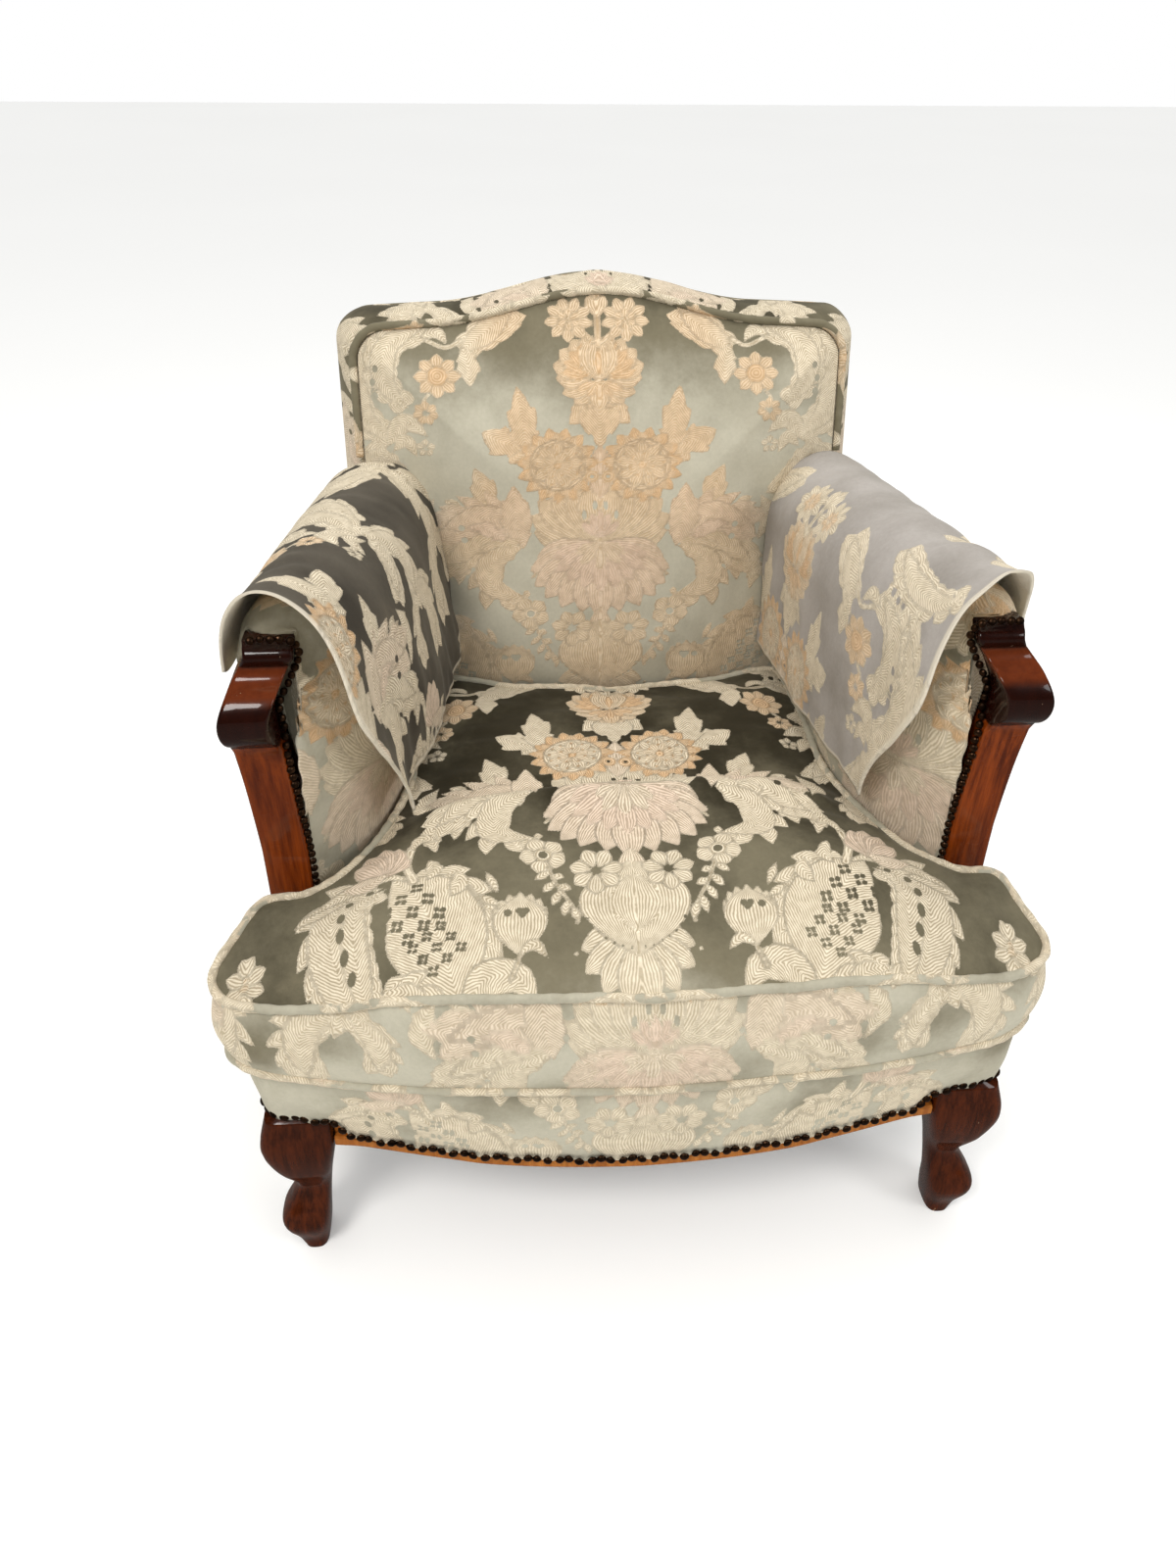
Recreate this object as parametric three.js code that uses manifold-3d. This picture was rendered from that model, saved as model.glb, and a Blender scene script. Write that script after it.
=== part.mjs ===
// A sagging, well-worn armchair: a sprung seat on short cabriole legs, a camel-topped back, show-wood arm
// posts with scrolled knuckles, a loose T-shaped cushion, and a loose cover hung over each arm.
// Millimetres, +Z up, +Y towards the back, +X to the right of someone looking at the chair's front.
// Lengths along Y are measured from the tips of the front feet. The finished chair is set over its own
// middle, with its feet at Z = 0.
import * as THREE from 'three';
import { mergeVertices } from 'three/addons/utils/BufferGeometryUtils.js';
import Module from 'manifold-3d';

const wasm = await Module();
wasm.setup();

// The gap left between pieces that touch
const seatGap = 0.3;
// Cloth thicknesses
const coverThickness = 3;
const panelThickness = 3;
const liningThickness = 1.5;
const weltRadius = 4.5;

// Widths. Legs, posts, arms, back and cushion keep their places from the seat's sides.
const seatSideHalf = 355;
const frontFlare = 17;
const legInset = 55;
const postInset = 50;
const backInset = 55;
const armFrontWidth = 129;
const armBackWidth = 158;
const cushionClearance = 6;
const cushionOverhang = 4;
const legInnerX = seatSideHalf - legInset;
const seatFrontHalf = seatSideHalf + frontFlare;
const backHalf = seatSideHalf - backInset;
const postInnerX = seatSideHalf - postInset;
const armInnerFrontX = seatSideHalf - armFrontWidth;
const armInnerBackX = seatSideHalf - armBackWidth;
const cushionEarX = seatFrontHalf + cushionOverhang;
const cushionWaistX = armInnerFrontX - cushionClearance;
const cushionRearX = cushionWaistX - cushionClearance;

// Front legs, with widths measured from their inner side
const legTopOut = 66;
const legKneeOut = 74;
const legKneeZ = 168;
const legAnkleOut = 49;
const legAnkleIn = 15;
const legAnkleZ = 93;
const legToeOut = 70;
const legToeZ = 48;
const legFootOut = 53;
const legFootIn = 27;
const legBackY = 66;
const legFootBackY = 44;
const legTopZ = 234;
const legBlockOut = 50;
const legBlockY = 16;

// Seat frame
const railTopZ = 235;
const railBottomZ = 178;
const railThickness = 30;
const apronCentreZ = 155;
const apronEndZ = 170;
const apronStrip = 9;
const bowCentreY = -35;
const borderThickness = 6;
const borderTopZ = 288;
const borderLegZ = 204;
const cornerBlockSide = 58;
const cornerBlockDepth = 36;

// Springing
const webbingThickness = 3.2;
const webbingWidth = 50;
const springWireRadius = 2;
const springEndRadius = 40;
const springWaistRadius = 26;
const springTurns = 4;
const springTopZ = 262;
const springPitchX = 0.4 * seatSideHalf;
const springFirstY = 112;
const springRows = [0, 1, 2];
const hessianThickness = 2;

// Back
const rake = THREE.MathUtils.degToRad(12.6);
const backFaceY = 511;
const backFaceZ = 440;
const backDepth = 100;
const backShoulder = 374;
const backHump = 28;
const backHumpHalf = 185;
const backCorner = 36;
const backSwell = 22;
const backWeltHalf = backHalf - backSwell - coverThickness;
const backCrown = 62;
const backFootW = -140;
const uprightWidth = 34;
const uprightDepth = 34;
const uprightInset = 14;
const uprightOuterX = backHalf - uprightInset;
const uprightFarD = backDepth - 2 * panelThickness;
const uprightNearD = uprightFarD - uprightDepth;
const stuffingGap = 8;
const stuffingDepth = uprightNearD - stuffingGap;
const crestHeight = 52;
const crestFootW = backShoulder - crestHeight;
const rearFootSplay = 77;
const rearFootY = backFaceY + rearFootSplay;
const rearFootDepth = 28;
const stayRailLowW = -64;
const stayRailHeight = 42;

// Arms
const postWidth = 42;
const postFrontY = 106;
const postBackY = 154;
const postFootZ = railTopZ + 1;
const postTopZ = 657;
const knuckleY = 112;
const knuckleZ = 600;
const knuckleRadius = 29;
const topRollY = 131;
const topRollZ = 644;
const topRollRadius = 9.5;
const postLeanOut = 9;
const postLeanIn = -12;
const postEase = 3;
const armFootZ = 302;
const armRollZ = 600;
const armTopFrontZ = 678;
const armTopBackZ = 652;
const armSkirtZ = 588;
const armRailWidth = 36;
const armRailHeight = 38;
const armPanelFootZ = 182;

// Arm covers
const capTopFrontZ = 697;
const capTopBackZ = 660;
const capClearance = 1;
const capFrontY = 99;
const capTipY = 160;
const capInnerHemZ = 452;
const capOuterHemZ = 622;
const capRearShare = 0.95;

// Loose cushion
const earBackY = 84;
const cushionRearY = backFaceY - 71;
const cushionRearFlare = 40;
const cushionFootZ = borderTopZ + seatGap;
const cushionFrontZ = 410;
const cushionCornerZ = 375;
const cushionSideZ = 420;
const cushionFrontY = -55;
const cushionCrown = 34;
const cushionSag = 26;
const creaseY = 208;
const creaseDepth = 7;

const wood = { color: 0x6e3a1a, roughness: 0.35, metalness: 0 };
const darkWood = { color: 0x4a2412, roughness: 0.3, metalness: 0 };
const plainWood = { color: 0xb08a5a, roughness: 0.8, metalness: 0 };
const velvet = { color: 0x9a9a84, roughness: 0.85, metalness: 0 };
const paleVelvet = { color: 0xb4b2a8, roughness: 0.85, metalness: 0 };
const jute = { color: 0xa98f62, roughness: 0.95, metalness: 0 };
const springSteel = { color: 0x6b6660, roughness: 0.45, metalness: 0.9 };
const cambric = { color: 0x1c1b1a, roughness: 0.95, metalness: 0 };

const chair = new THREE.Group();

function add(name, geometry, look, parent = chair) {
  const mesh = new THREE.Mesh(geometry, new THREE.MeshStandardMaterial(look));
  mesh.name = name;
  parent.add(mesh);
  return mesh;
}

// Curves and numbers

const lerp = THREE.MathUtils.lerp;
const smooth = (t, low, high) => THREE.MathUtils.smoothstep(t, low, high);

// A smooth curve through knots of [position, value], level beyond its ends.
function profile(...knots) {
  const last = knots.length - 1;
  const slope = (k) => {
    const [t0, v0] = knots[Math.max(k - 1, 0)];
    const [t1, v1] = knots[Math.min(k + 1, last)];
    return (v1 - v0) / (t1 - t0);
  };
  return (t) => {
    if (t <= knots[0][0]) return knots[0][1];
    if (t >= knots[last][0]) return knots[last][1];
    const i = knots.findIndex(([at]) => at > t) - 1;
    const [t0, v0] = knots[i];
    const [t1, v1] = knots[i + 1];
    const span = t1 - t0;
    const s = (t - t0) / span;
    const rise = s * s * (3 - 2 * s);
    const start = s * (1 - s) * (1 - s) * span * slope(i);
    const end = s * s * (s - 1) * span * slope(i + 1);
    return v0 + (v1 - v0) * rise + start + end;
  };
}

const steps = (count, low = 0, high = 1) =>
  Array.from({ length: count + 1 }, (_, i) => lerp(low, high, i / count));

// Solids

function welded(geometry) {
  geometry.deleteAttribute('normal');
  geometry.deleteAttribute('uv');
  return mergeVertices(geometry, 1e-4);
}

function volumeOf(points, faces) {
  let total = 0;
  for (let i = 0; i < faces.length; i += 3) {
    const [a, b, c] = [points[faces[i]], points[faces[i + 1]], points[faces[i + 2]]];
    total += a.dot(b.clone().cross(c)) / 6;
  }
  return total;
}

// A body through rings of as many points each. Its two ends are closed with fans, or with strips where
// the rings are thin sections that run out along one face and back along the other.
function loft(rings, ends = 'fan') {
  const count = rings[0].length;
  const points = rings.flat();
  const faces = [];
  const bands = ends === 'joined' ? rings.length : rings.length - 1;
  for (let i = 0; i < bands; i++) {
    const here = i * count;
    const next = ((i + 1) % rings.length) * count;
    for (let j = 0; j < count; j++) {
      const k = (j + 1) % count;
      faces.push(here + j, here + k, next + k);
      faces.push(here + j, next + k, next + j);
    }
  }
  const cap = (first, flip) => {
    const put = (a, b, c) => faces.push(...(flip ? [a, c, b] : [a, b, c]));
    if (ends === 'strip') {
      for (let j = 0; j + 1 < count / 2; j++) {
        const across = first + count - 1 - j;
        put(first + j, first + j + 1, across - 1);
        put(first + j, across - 1, across);
      }
      return;
    }
    const middle = new THREE.Vector3();
    for (let j = 0; j < count; j++) middle.addScaledVector(points[first + j], 1 / count);
    points.push(middle);
    for (let j = 0; j < count; j++) put(points.length - 1, first + j, first + ((j + 1) % count));
  };
  if (ends !== 'joined') {
    cap(0, true);
    cap((rings.length - 1) * count, false);
  }
  if (volumeOf(points, faces) < 0) faces.reverse();
  const geometry = new THREE.BufferGeometry().setFromPoints(points);
  geometry.setIndex(faces);
  geometry.computeVertexNormals();
  return geometry;
}

const shapeOf = (points) => new THREE.Shape(points.map(([x, y]) => new THREE.Vector2(x, y)));

function extrude(shape, depth, ease = 0) {
  return new THREE.ExtrudeGeometry(shape, {
    depth: depth - 2 * ease,
    bevelEnabled: ease > 0,
    bevelThickness: ease,
    bevelSize: ease,
    bevelOffset: -ease,
    bevelSegments: 2,
    curveSegments: 5,
  }).translate(0, 0, ease);
}

// A plan shape raised from one height to another
const raised = (shape, low, high, ease) => extrude(shape, high - low, ease).translate(0, 0, low);

// A side view in Y and Z, drawn out along X
const alongX = new THREE.Matrix4().makeBasis(
  new THREE.Vector3(0, 1, 0), new THREE.Vector3(0, 0, 1), new THREE.Vector3(1, 0, 0));
const sideways = (shape, low, high, ease) =>
  extrude(shape, high - low, ease).applyMatrix4(alongX).translate(low, 0, 0);

// A front view in X and Z, drawn out along Y from its far face
const alongY = new THREE.Matrix4().makeBasis(
  new THREE.Vector3(1, 0, 0), new THREE.Vector3(0, 0, 1), new THREE.Vector3(0, -1, 0));
const upright = (shape, near, far, ease) =>
  extrude(shape, far - near, ease).applyMatrix4(alongY).translate(0, far, 0);

function mirrored(geometry) {
  const copy = welded(geometry.clone()).scale(-1, 1, 1);
  copy.index.array.reverse();
  return copy;
}

function manifoldOf(geometry) {
  const merged = welded(geometry.clone());
  return new wasm.Manifold(new wasm.Mesh({
    numProp: 3,
    vertProperties: Float32Array.from(merged.attributes.position.array),
    triVerts: Uint32Array.from(merged.index.array),
  }));
}

function geometryOf(solid) {
  const mesh = solid.getMesh();
  const result = new THREE.BufferGeometry();
  result.setAttribute('position', new THREE.BufferAttribute(mesh.vertProperties, 3));
  result.setIndex(new THREE.BufferAttribute(mesh.triVerts, 1));
  result.computeVertexNormals();
  return result;
}

const cut = (geometry, ...tools) => geometryOf(
  tools.reduce((body, tool) => body.subtract(manifoldOf(tool)), manifoldOf(geometry)));
const joined = (...geometries) => geometryOf(
  geometries.map(manifoldOf).reduce((body, piece) => body.add(piece)));

function pair(name, geometry, look, parent) {
  add(`${name}_right`, geometry, look, parent);
  add(`${name}_left`, mirrored(geometry), look, parent);
}

// A round cord along an open path
function cordAlong(path, radius, sides, count) {
  const section = shapeOf(steps(sides - 1, 0, 2 * Math.PI * (1 - 1 / sides)).map(
    (angle) => [radius * Math.cos(angle), radius * Math.sin(angle)]));
  return new THREE.ExtrudeGeometry(section, { steps: count, extrudePath: path });
}

// Plan lines shared by the frame, its covers and the cushion

// The front of the seat frame, bowed forward in the middle
const bow = (x, out = 0) => bowCentreY - out + (0 - bowCentreY) * (x / legInnerX) ** 2;

// The apron's lower edge: low in the middle, lifting past a small break towards each leg
const apronEdge = (x) => profile(
  [0, apronCentreZ], [0.5 * legInnerX, apronCentreZ + 4], [0.64 * legInnerX, apronCentreZ + 9],
  [0.9 * legInnerX, apronEndZ], [legInnerX, apronEndZ - 3])(Math.abs(x));

// The seat's outer side, from beside the front foot to the rear edge of the back
const sideLine = (share) => lerp(seatSideHalf, backHalf + panelThickness + seatGap, share ** 1.6);

// Where the back's plane at some depth behind its face cuts a height
const backY = (z, depth = 0) =>
  backFaceY + (z - backFaceZ) * Math.tan(rake) + depth / Math.cos(rake);

// A point of the back in side view, from its height along the rake and its depth behind the face
const backPoint = (w, depth) => [
  backFaceY + w * Math.sin(rake) + depth * Math.cos(rake),
  backFaceZ + w * Math.cos(rake) - depth * Math.sin(rake),
];

// Front legs: cabriole, with a knee at the corner, a pinched ankle and a toe that turns outwards

function frontLeg() {
  const outer = profile([0, legFootOut], [20, legFootOut + 8], [legToeZ, legToeOut],
    [75, legAnkleOut + 8], [legAnkleZ, legAnkleOut], [115, legAnkleOut + 9], [140, legKneeOut - 6],
    [legKneeZ, legKneeOut], [borderLegZ, legTopOut]);
  const inner = profile([0, legFootIn], [30, legFootIn - 5], [legAnkleZ, legAnkleIn], [legKneeZ, 1],
    [borderLegZ, 0]);
  const near = profile([0, 0], [15, -1], [legToeZ, -10], [legAnkleZ, 6], [130, -6],
    [legKneeZ, -9], [borderLegZ, 0]);
  const far = profile([0, legFootBackY], [legAnkleZ, legFootBackY], [legKneeZ, legBackY - 6],
    [borderLegZ, legBackY]);
  const section = (z, x0, x1, y0, y1, squareness) =>
    steps(15, 0, 2 * Math.PI * 15 / 16).map((angle) => {
      const [c, s] = [Math.cos(angle), Math.sin(angle)];
      const reach = (Math.abs(c) ** squareness + Math.abs(s) ** squareness) ** (-1 / squareness);
      const [across, back] = [0.5 + 0.5 * c * reach, 0.5 + 0.5 * s * reach];
      return new THREE.Vector3(legInnerX + lerp(x0, x1, across), lerp(y0, y1, back), z);
    });
  const shoulder = borderLegZ - seatGap;
  const heights = [...steps(3, 0, legToeZ), ...steps(3, legToeZ, legAnkleZ).slice(1),
    ...steps(4, legAnkleZ, legKneeZ).slice(1), ...steps(2, legKneeZ, shoulder).slice(1)];
  const shaped = heights.map((z) => section(
    z, inner(z), outer(z), near(z), far(z), lerp(3, 7, smooth(z, legAnkleZ, borderLegZ))));
  const block = [shoulder, legTopZ].map(
    (z) => section(z, 0, legBlockOut, legBlockY, legBackY, 20));
  return loft([...shaped, ...block]);
}
pair('front_leg', frontLeg(), darkWood);

// Front rail: bowed, with a moulded show-wood strip below a rebate that takes the seat border

function frontRail() {
  const end = legInnerX - seatGap;
  return loft(steps(28, -end, end).map((x) => {
    const face = bow(x);
    const edge = apronEdge(x);
    const nails = edge + apronStrip;
    const rebate = face + borderThickness + 3 * seatGap;
    return [[face + 4, edge], [face, edge + 3], [face, nails - 1.5], [face + 2, nails],
      [rebate, nails], [rebate, railTopZ], [face + railThickness, railTopZ],
      [face + railThickness, edge]].map(([y, z]) => new THREE.Vector3(x, y, z));
  }), 'fan');
}
add('front_rail', frontRail(), wood);

// Rear legs and back uprights, each one raked piece

function backPost() {
  const kneeW = -242;
  const shape = new THREE.Shape();
  const [nearTop, farTop] = [backPoint(crestFootW - seatGap, uprightNearD),
    backPoint(crestFootW - seatGap, uprightFarD)];
  const [nearKnee, farKnee] = [backPoint(kneeW, uprightNearD), backPoint(kneeW, uprightFarD)];
  shape.moveTo(rearFootY, 0);
  shape.quadraticCurveTo(nearKnee[0] + 4, 0.55 * nearKnee[1], ...nearKnee);
  shape.lineTo(...nearTop);
  shape.lineTo(...farTop);
  shape.lineTo(...farKnee);
  shape.quadraticCurveTo(farKnee[0] + 4, 0.55 * farKnee[1], rearFootY + rearFootDepth, 0);
  return sideways(shape, uprightOuterX - uprightWidth, uprightOuterX);
}
pair('back_post', backPost(), darkWood);

// Side rails, from the front leg's back to the upright's face, tapering in towards the back

const railNearY = legBackY + seatGap;
const railFarY = backY(railTopZ, uprightNearD) - seatGap;
const railFarLowY = backY(railBottomZ, uprightNearD) - seatGap;
const panelFrontY = postBackY + 2;
const panelShare = (y, z) => (y - panelFrontY) / (backY(z, backDepth) - panelFrontY);
const railOuter = (y) =>
  sideLine(Math.max(panelShare(y, railTopZ), 0)) - panelThickness - borderThickness;

function sideRail() {
  return loft(steps(6).map((share) => {
    const corner = (inset, z, far) => {
      const y = lerp(railNearY, far, share);
      return new THREE.Vector3(railOuter(y) - inset, y, z);
    };
    return [corner(0, railBottomZ, railFarLowY), corner(0, railTopZ, railFarY),
      corner(railThickness, railTopZ, railFarY), corner(railThickness, railBottomZ, railFarLowY)];
  }));
}
pair('side_rail', sideRail(), plainWood);

const seatBackRailHalf = uprightOuterX - uprightWidth - seatGap;
const seatBackRail = shapeOf([
  [backY(railBottomZ, uprightNearD), railBottomZ], [backY(railBottomZ, uprightFarD), railBottomZ],
  [backY(railTopZ, uprightFarD), railTopZ], [backY(railTopZ, uprightNearD), railTopZ]]);
add('seat_back_rail', sideways(seatBackRail, -seatBackRailHalf, seatBackRailHalf), plainWood);

// Corner blocks, screwed into the frame's inner corners

const blockLowZ = railTopZ - 12 - cornerBlockDepth;
const blockTopZ = railTopZ - 12;
const frontBlock = shapeOf([
  [legInnerX - seatGap, bow(legInnerX) + railThickness + seatGap],
  [legInnerX - seatGap, bow(legInnerX) + railThickness + cornerBlockSide],
  [legInnerX - cornerBlockSide, bow(legInnerX - cornerBlockSide) + railThickness + seatGap],
]);
pair('front_corner_block', raised(frontBlock, blockLowZ, blockTopZ), plainWood);

function rearBlock() {
  const nearY = (z) => backY(z, uprightNearD) - seatGap;
  const ring = (z) => [
    [railOuter(nearY(z)) - railThickness - 1, nearY(z)],
    [railOuter(nearY(z)) - railThickness - cornerBlockSide, nearY(z)],
    [railOuter(nearY(z) - cornerBlockSide) - railThickness - 1, nearY(z) - cornerBlockSide],
  ].map(([x, y]) => new THREE.Vector3(x, y, z));
  return loft([ring(blockLowZ), ring(blockTopZ)]);
}
pair('rear_corner_block', rearBlock(), plainWood);

// Seat springing: webbing under the rails, nine waisted coils on it, hessian over them

const springPitchY = 0.4 * (cushionRearY - springFirstY);
const webbingTopZ = railBottomZ - seatGap;
const webbingLowZ = webbingTopZ - webbingThickness;
const webbingNearY = legBackY + 4;
const webbingFarY = backY(webbingLowZ, uprightNearD) - 4;
const webbingHalf = (y) => railOuter(y) - 4;

// One strip of webbing between two corners of a plane. A cross strip lies a little inside the long ones.
const strip = (x0, x1, y0, y1, inset = 0) =>
  raised(shapeOf([[x0, y0], [x1, y0], [x1, y1], [x0, y1]]), inset, webbingThickness - inset);
const crossInset = 0.6;
const halfStrip = webbingWidth / 2;

function seatWebbing() {
  const long = [-2, -1, 0, 1, 2].map((i) => 0.8 * i * springPitchX).map(
    (x) => strip(x - halfStrip, x + halfStrip, webbingNearY, webbingFarY));
  const cross = springRows.map((i) => springFirstY + i * springPitchY).map(
    (y) => strip(-webbingHalf(y), webbingHalf(y), y - halfStrip, y + halfStrip, crossInset));
  return joined(...long, ...cross).translate(0, 0, webbingLowZ);
}
add('seat_webbing', seatWebbing(), jute);

function spring() {
  const low = webbingTopZ + springWireRadius + seatGap;
  const high = springTopZ - springWireRadius - seatGap;
  const turns = steps(9 * springTurns).map((share) => {
    const radius = lerp(springWaistRadius, springEndRadius, (2 * share - 1) ** 2);
    const angle = 2 * Math.PI * springTurns * share;
    return new THREE.Vector3(radius * Math.cos(angle), radius * Math.sin(angle), lerp(low, high, share));
  });
  return cordAlong(new THREE.CatmullRomCurve3(turns), springWireRadius, 5, turns.length - 1);
}
for (const row of springRows) {
  for (const column of [-1, 0, 1]) {
    const coil = add(`seat_spring_${3 * row + column + 2}`, spring(), springSteel);
    coil.position.set(column * springPitchX, springFirstY + row * springPitchY, 0);
  }
}

// The T shape of cushion and seat in plan: bowed front, ears before the arm posts, body between the arms


function seatPlan() {
  const fromEar = (share) => lerp(earBackY, cushionRearY, share);
  const half = new THREE.CatmullRomCurve3([
    [0, cushionFrontY], [0.5 * cushionEarX, cushionFrontY + 12], [cushionEarX - 58, cushionFrontY + 35],
    [cushionEarX - 14, cushionFrontY + 55], [cushionEarX, earBackY - 60], [cushionEarX - 18, earBackY - 22],
    [cushionEarX - 34, earBackY], [postInnerX - 1, earBackY + 6], [cushionWaistX + 50, fromEar(0.1)],
    [cushionWaistX + 18, fromEar(0.3)], [cushionWaistX, fromEar(0.5)], [cushionWaistX, fromEar(0.78)],
    [cushionRearX, cushionRearY + 30],
    [cushionRearX - 14, cushionRearY + cushionRearFlare],
    [cushionRearX / 2, cushionRearY + 0.3 * cushionRearFlare], [0, cushionRearY],
  ].map(([x, y]) => new THREE.Vector3(x, y, 0)), false, 'centripetal');
  const right = half.getSpacedPoints(26);
  const left = right.slice(1, -1).reverse().map((p) => new THREE.Vector3(-p.x, p.y, 0));
  return [...right, ...left];
}
const seatLine = seatPlan();
const seatInward = seatLine.map((_, i) => {
  const along = seatLine[(i + 1) % seatLine.length].clone().sub(seatLine.at(i - 1));
  return new THREE.Vector3(-along.y, along.x, 0).normalize();
});
const seatMiddle = new THREE.Vector3(0, 150, 0);

// The T shape drawn in from its edge, shrunk about its middle, and set at heights that follow its rake
const seatRing = (share, inset, height, front = inset) => seatLine.map((edge, i) => {
  const drawnIn = lerp(front, inset, smooth(edge.y, 60, earBackY + 6));
  const at = edge.clone().addScaledVector(seatInward[i], drawnIn)
    .sub(seatMiddle).multiplyScalar(share).add(seatMiddle);
  const z = height(at.x, at.y);
  const leaning = (cushionSideZ - z) * Math.tan(rake) * smooth(at.y, 0.57 * cushionRearY, cushionRearY);
  return new THREE.Vector3(at.x, at.y - leaning, z);
});

// Hessian, deck stuffing and the rolled edge that the front border is drawn over

const hessianTopZ = springTopZ + hessianThickness;
const deckLowZ = hessianTopZ + seatGap;
const deckTopZ = borderTopZ;
const deckInset = 10;
const deckFrontInset = 24;
const deckRing = (share, z) => seatRing(share, deckInset, () => z, deckFrontInset);
add('spring_hessian', loft([deckRing(0.9, springTopZ), deckRing(0.9, hessianTopZ)]), jute);
add('seat_deck', loft([
  deckRing(0.97, deckLowZ), deckRing(1, deckLowZ + 6),
  deckRing(1, deckTopZ - 5), deckRing(0.97, deckTopZ),
]), velvet);

const edgeRollFarY = (x) => bow(x) + railThickness + 2;
add('edge_roll', loft(steps(20, -legInnerX + 4, legInnerX - 4).map((x) => {
  const [near, far] = [bow(x) + borderThickness + 1, edgeRollFarY(x)];
  const [low, high] = [railTopZ + seatGap, springTopZ - seatGap];
  return [[near + 3, low], [near, (low + high) / 2], [near + 4, high], [far - 4, high], [far, low + 8],
    [far - 3, low]].map(([y, z]) => new THREE.Vector3(x, y, z));
})), jute);

// Front border: the strip of cover from the nails up to the cushion, round both front corners

function borderPath(lean) {
  const half = new THREE.CatmullRomCurve3([
    ...[0, 0.25, 0.5, 0.72, 0.92].map((share) => [share * legInnerX, bow(share * legInnerX, lean)]),
    [1.1 * legInnerX, 2 - lean],
    [seatFrontHalf - 12, 12 - lean / 2], [seatFrontHalf - 5 + lean / 2, 34], [seatFrontHalf - 9, 62],
    [seatSideHalf + 1, 106], [seatSideHalf, postBackY + 1],
  ].map(([x, y]) => new THREE.Vector3(x, y, 0)), false, 'centripetal');
  const right = half.getSpacedPoints(24);
  return [...right.slice(1).reverse().map((p) => new THREE.Vector3(-p.x, p.y, 0)), ...right];
}

function frontBorder() {
  const low = borderPath(0);
  const high = borderPath(9);
  const inward = (path, i) => {
    const along = path[Math.min(i + 1, path.length - 1)].clone().sub(path[Math.max(i - 1, 0)]);
    return new THREE.Vector3(-along.y, along.x, 0).normalize().multiplyScalar(borderThickness);
  };
  const at = (p, z) => new THREE.Vector3(p.x, p.y, z);
  return loft(low.map((p, i) => {
    const reach = Math.abs(p.x);
    const foot = lerp(apronEdge(p.x) + apronStrip + seatGap, borderLegZ,
      smooth(reach, legInnerX - 26, legInnerX - 3));
    const middle = p.clone().lerp(high[i], 0.7);
    const [inLow, inHigh] = [inward(low, i), inward(high, i)];
    return [at(p, foot), at(middle, lerp(foot, borderTopZ, 0.5)), at(high[i], borderTopZ - 1),
      at(high[i].clone().add(inHigh), borderTopZ - 1),
      at(middle.clone().add(inLow), lerp(foot, borderTopZ, 0.5)), at(p.clone().add(inLow), foot)];
  }), 'strip');
}
add('front_border', frontBorder(), velvet);

// Arm posts: a board with a scrolled front edge, leaning out at its knuckle and in above it

const leanFootZ = knuckleZ - 150;
const leanNeckZ = knuckleZ + 25;
const postLean = profile([leanFootZ, 0], [knuckleZ - 40, 0.6 * postLeanOut], [knuckleZ, postLeanOut],
  [leanNeckZ, 0], [topRollZ, postLeanIn], [postTopZ, postLeanIn]);

// A level section of the board, its long edges eased
function postSection(z, frontY) {
  const x0 = postInnerX + postLean(z);
  const x1 = x0 + postWidth;
  return [[x0 + postEase, frontY], [x1 - postEase, frontY], [x1, frontY + postEase],
    [x1, postBackY - postEase], [x1 - postEase, postBackY], [x0 + postEase, postBackY],
    [x0, postBackY - postEase], [x0, frontY + postEase]].map(([x, y]) => new THREE.Vector3(x, y, z));
}

function armPost() {
  const shaftTopZ = knuckleZ - knuckleRadius;
  const up = (share) => lerp(postFootZ, shaftTopZ, share);
  const shaft = profile([postFootZ, postFrontY], [up(0.34), postFrontY + 5], [up(0.64), postFrontY + 8],
    [up(0.85), postFrontY + 6], [shaftTopZ, knuckleY - 6]);
  const roll = (centreY, centreZ, radius, low, high, count) => steps(count, low, high).map(
    (angle) => [centreZ + radius * Math.sin(angle), centreY - radius * Math.cos(angle)]);
  const front = [
    ...steps(6, postFootZ, up(0.97)).map((z) => [z, shaft(z)]),
    ...roll(knuckleY, knuckleZ, knuckleRadius, -0.38 * Math.PI, 0.4 * Math.PI, 11),
    ...roll(topRollY, topRollZ, topRollRadius, -0.36 * Math.PI, 0.4 * Math.PI, 6),
    [postTopZ, topRollY + 1],
  ];
  return loft(front.map(([z, y]) => postSection(z, y)));
}
pair('arm_post', armPost(), wood);

// Arms. Each station is a share of the way from the arm's front to the back's face.

const armOuter = (share) => sideLine(0.84 * share) - 1;
const fromPost = (share) => lerp(postInnerX, armInnerFrontX, share);
const armInnerTop = (share) => profile([0, postInnerX - 5], [0.12, fromPost(0.54)],
  [0.28, armInnerFrontX], [1, armInnerBackX])(share);
const armInnerFoot = (share) => profile([0, postInnerX - 2], [0.06, fromPost(0.24)], [0.2, fromPost(0.72)],
  [0.4, cushionWaistX + 8], [1, cushionWaistX + 7])(share);
const armTop = (share) => profile([0, armRollZ + 46], [0.13, armTopFrontZ],
  [1, armTopBackZ])(share);
const capTop = (share) => lerp(capTopFrontZ, capTopBackZ, share);

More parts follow.
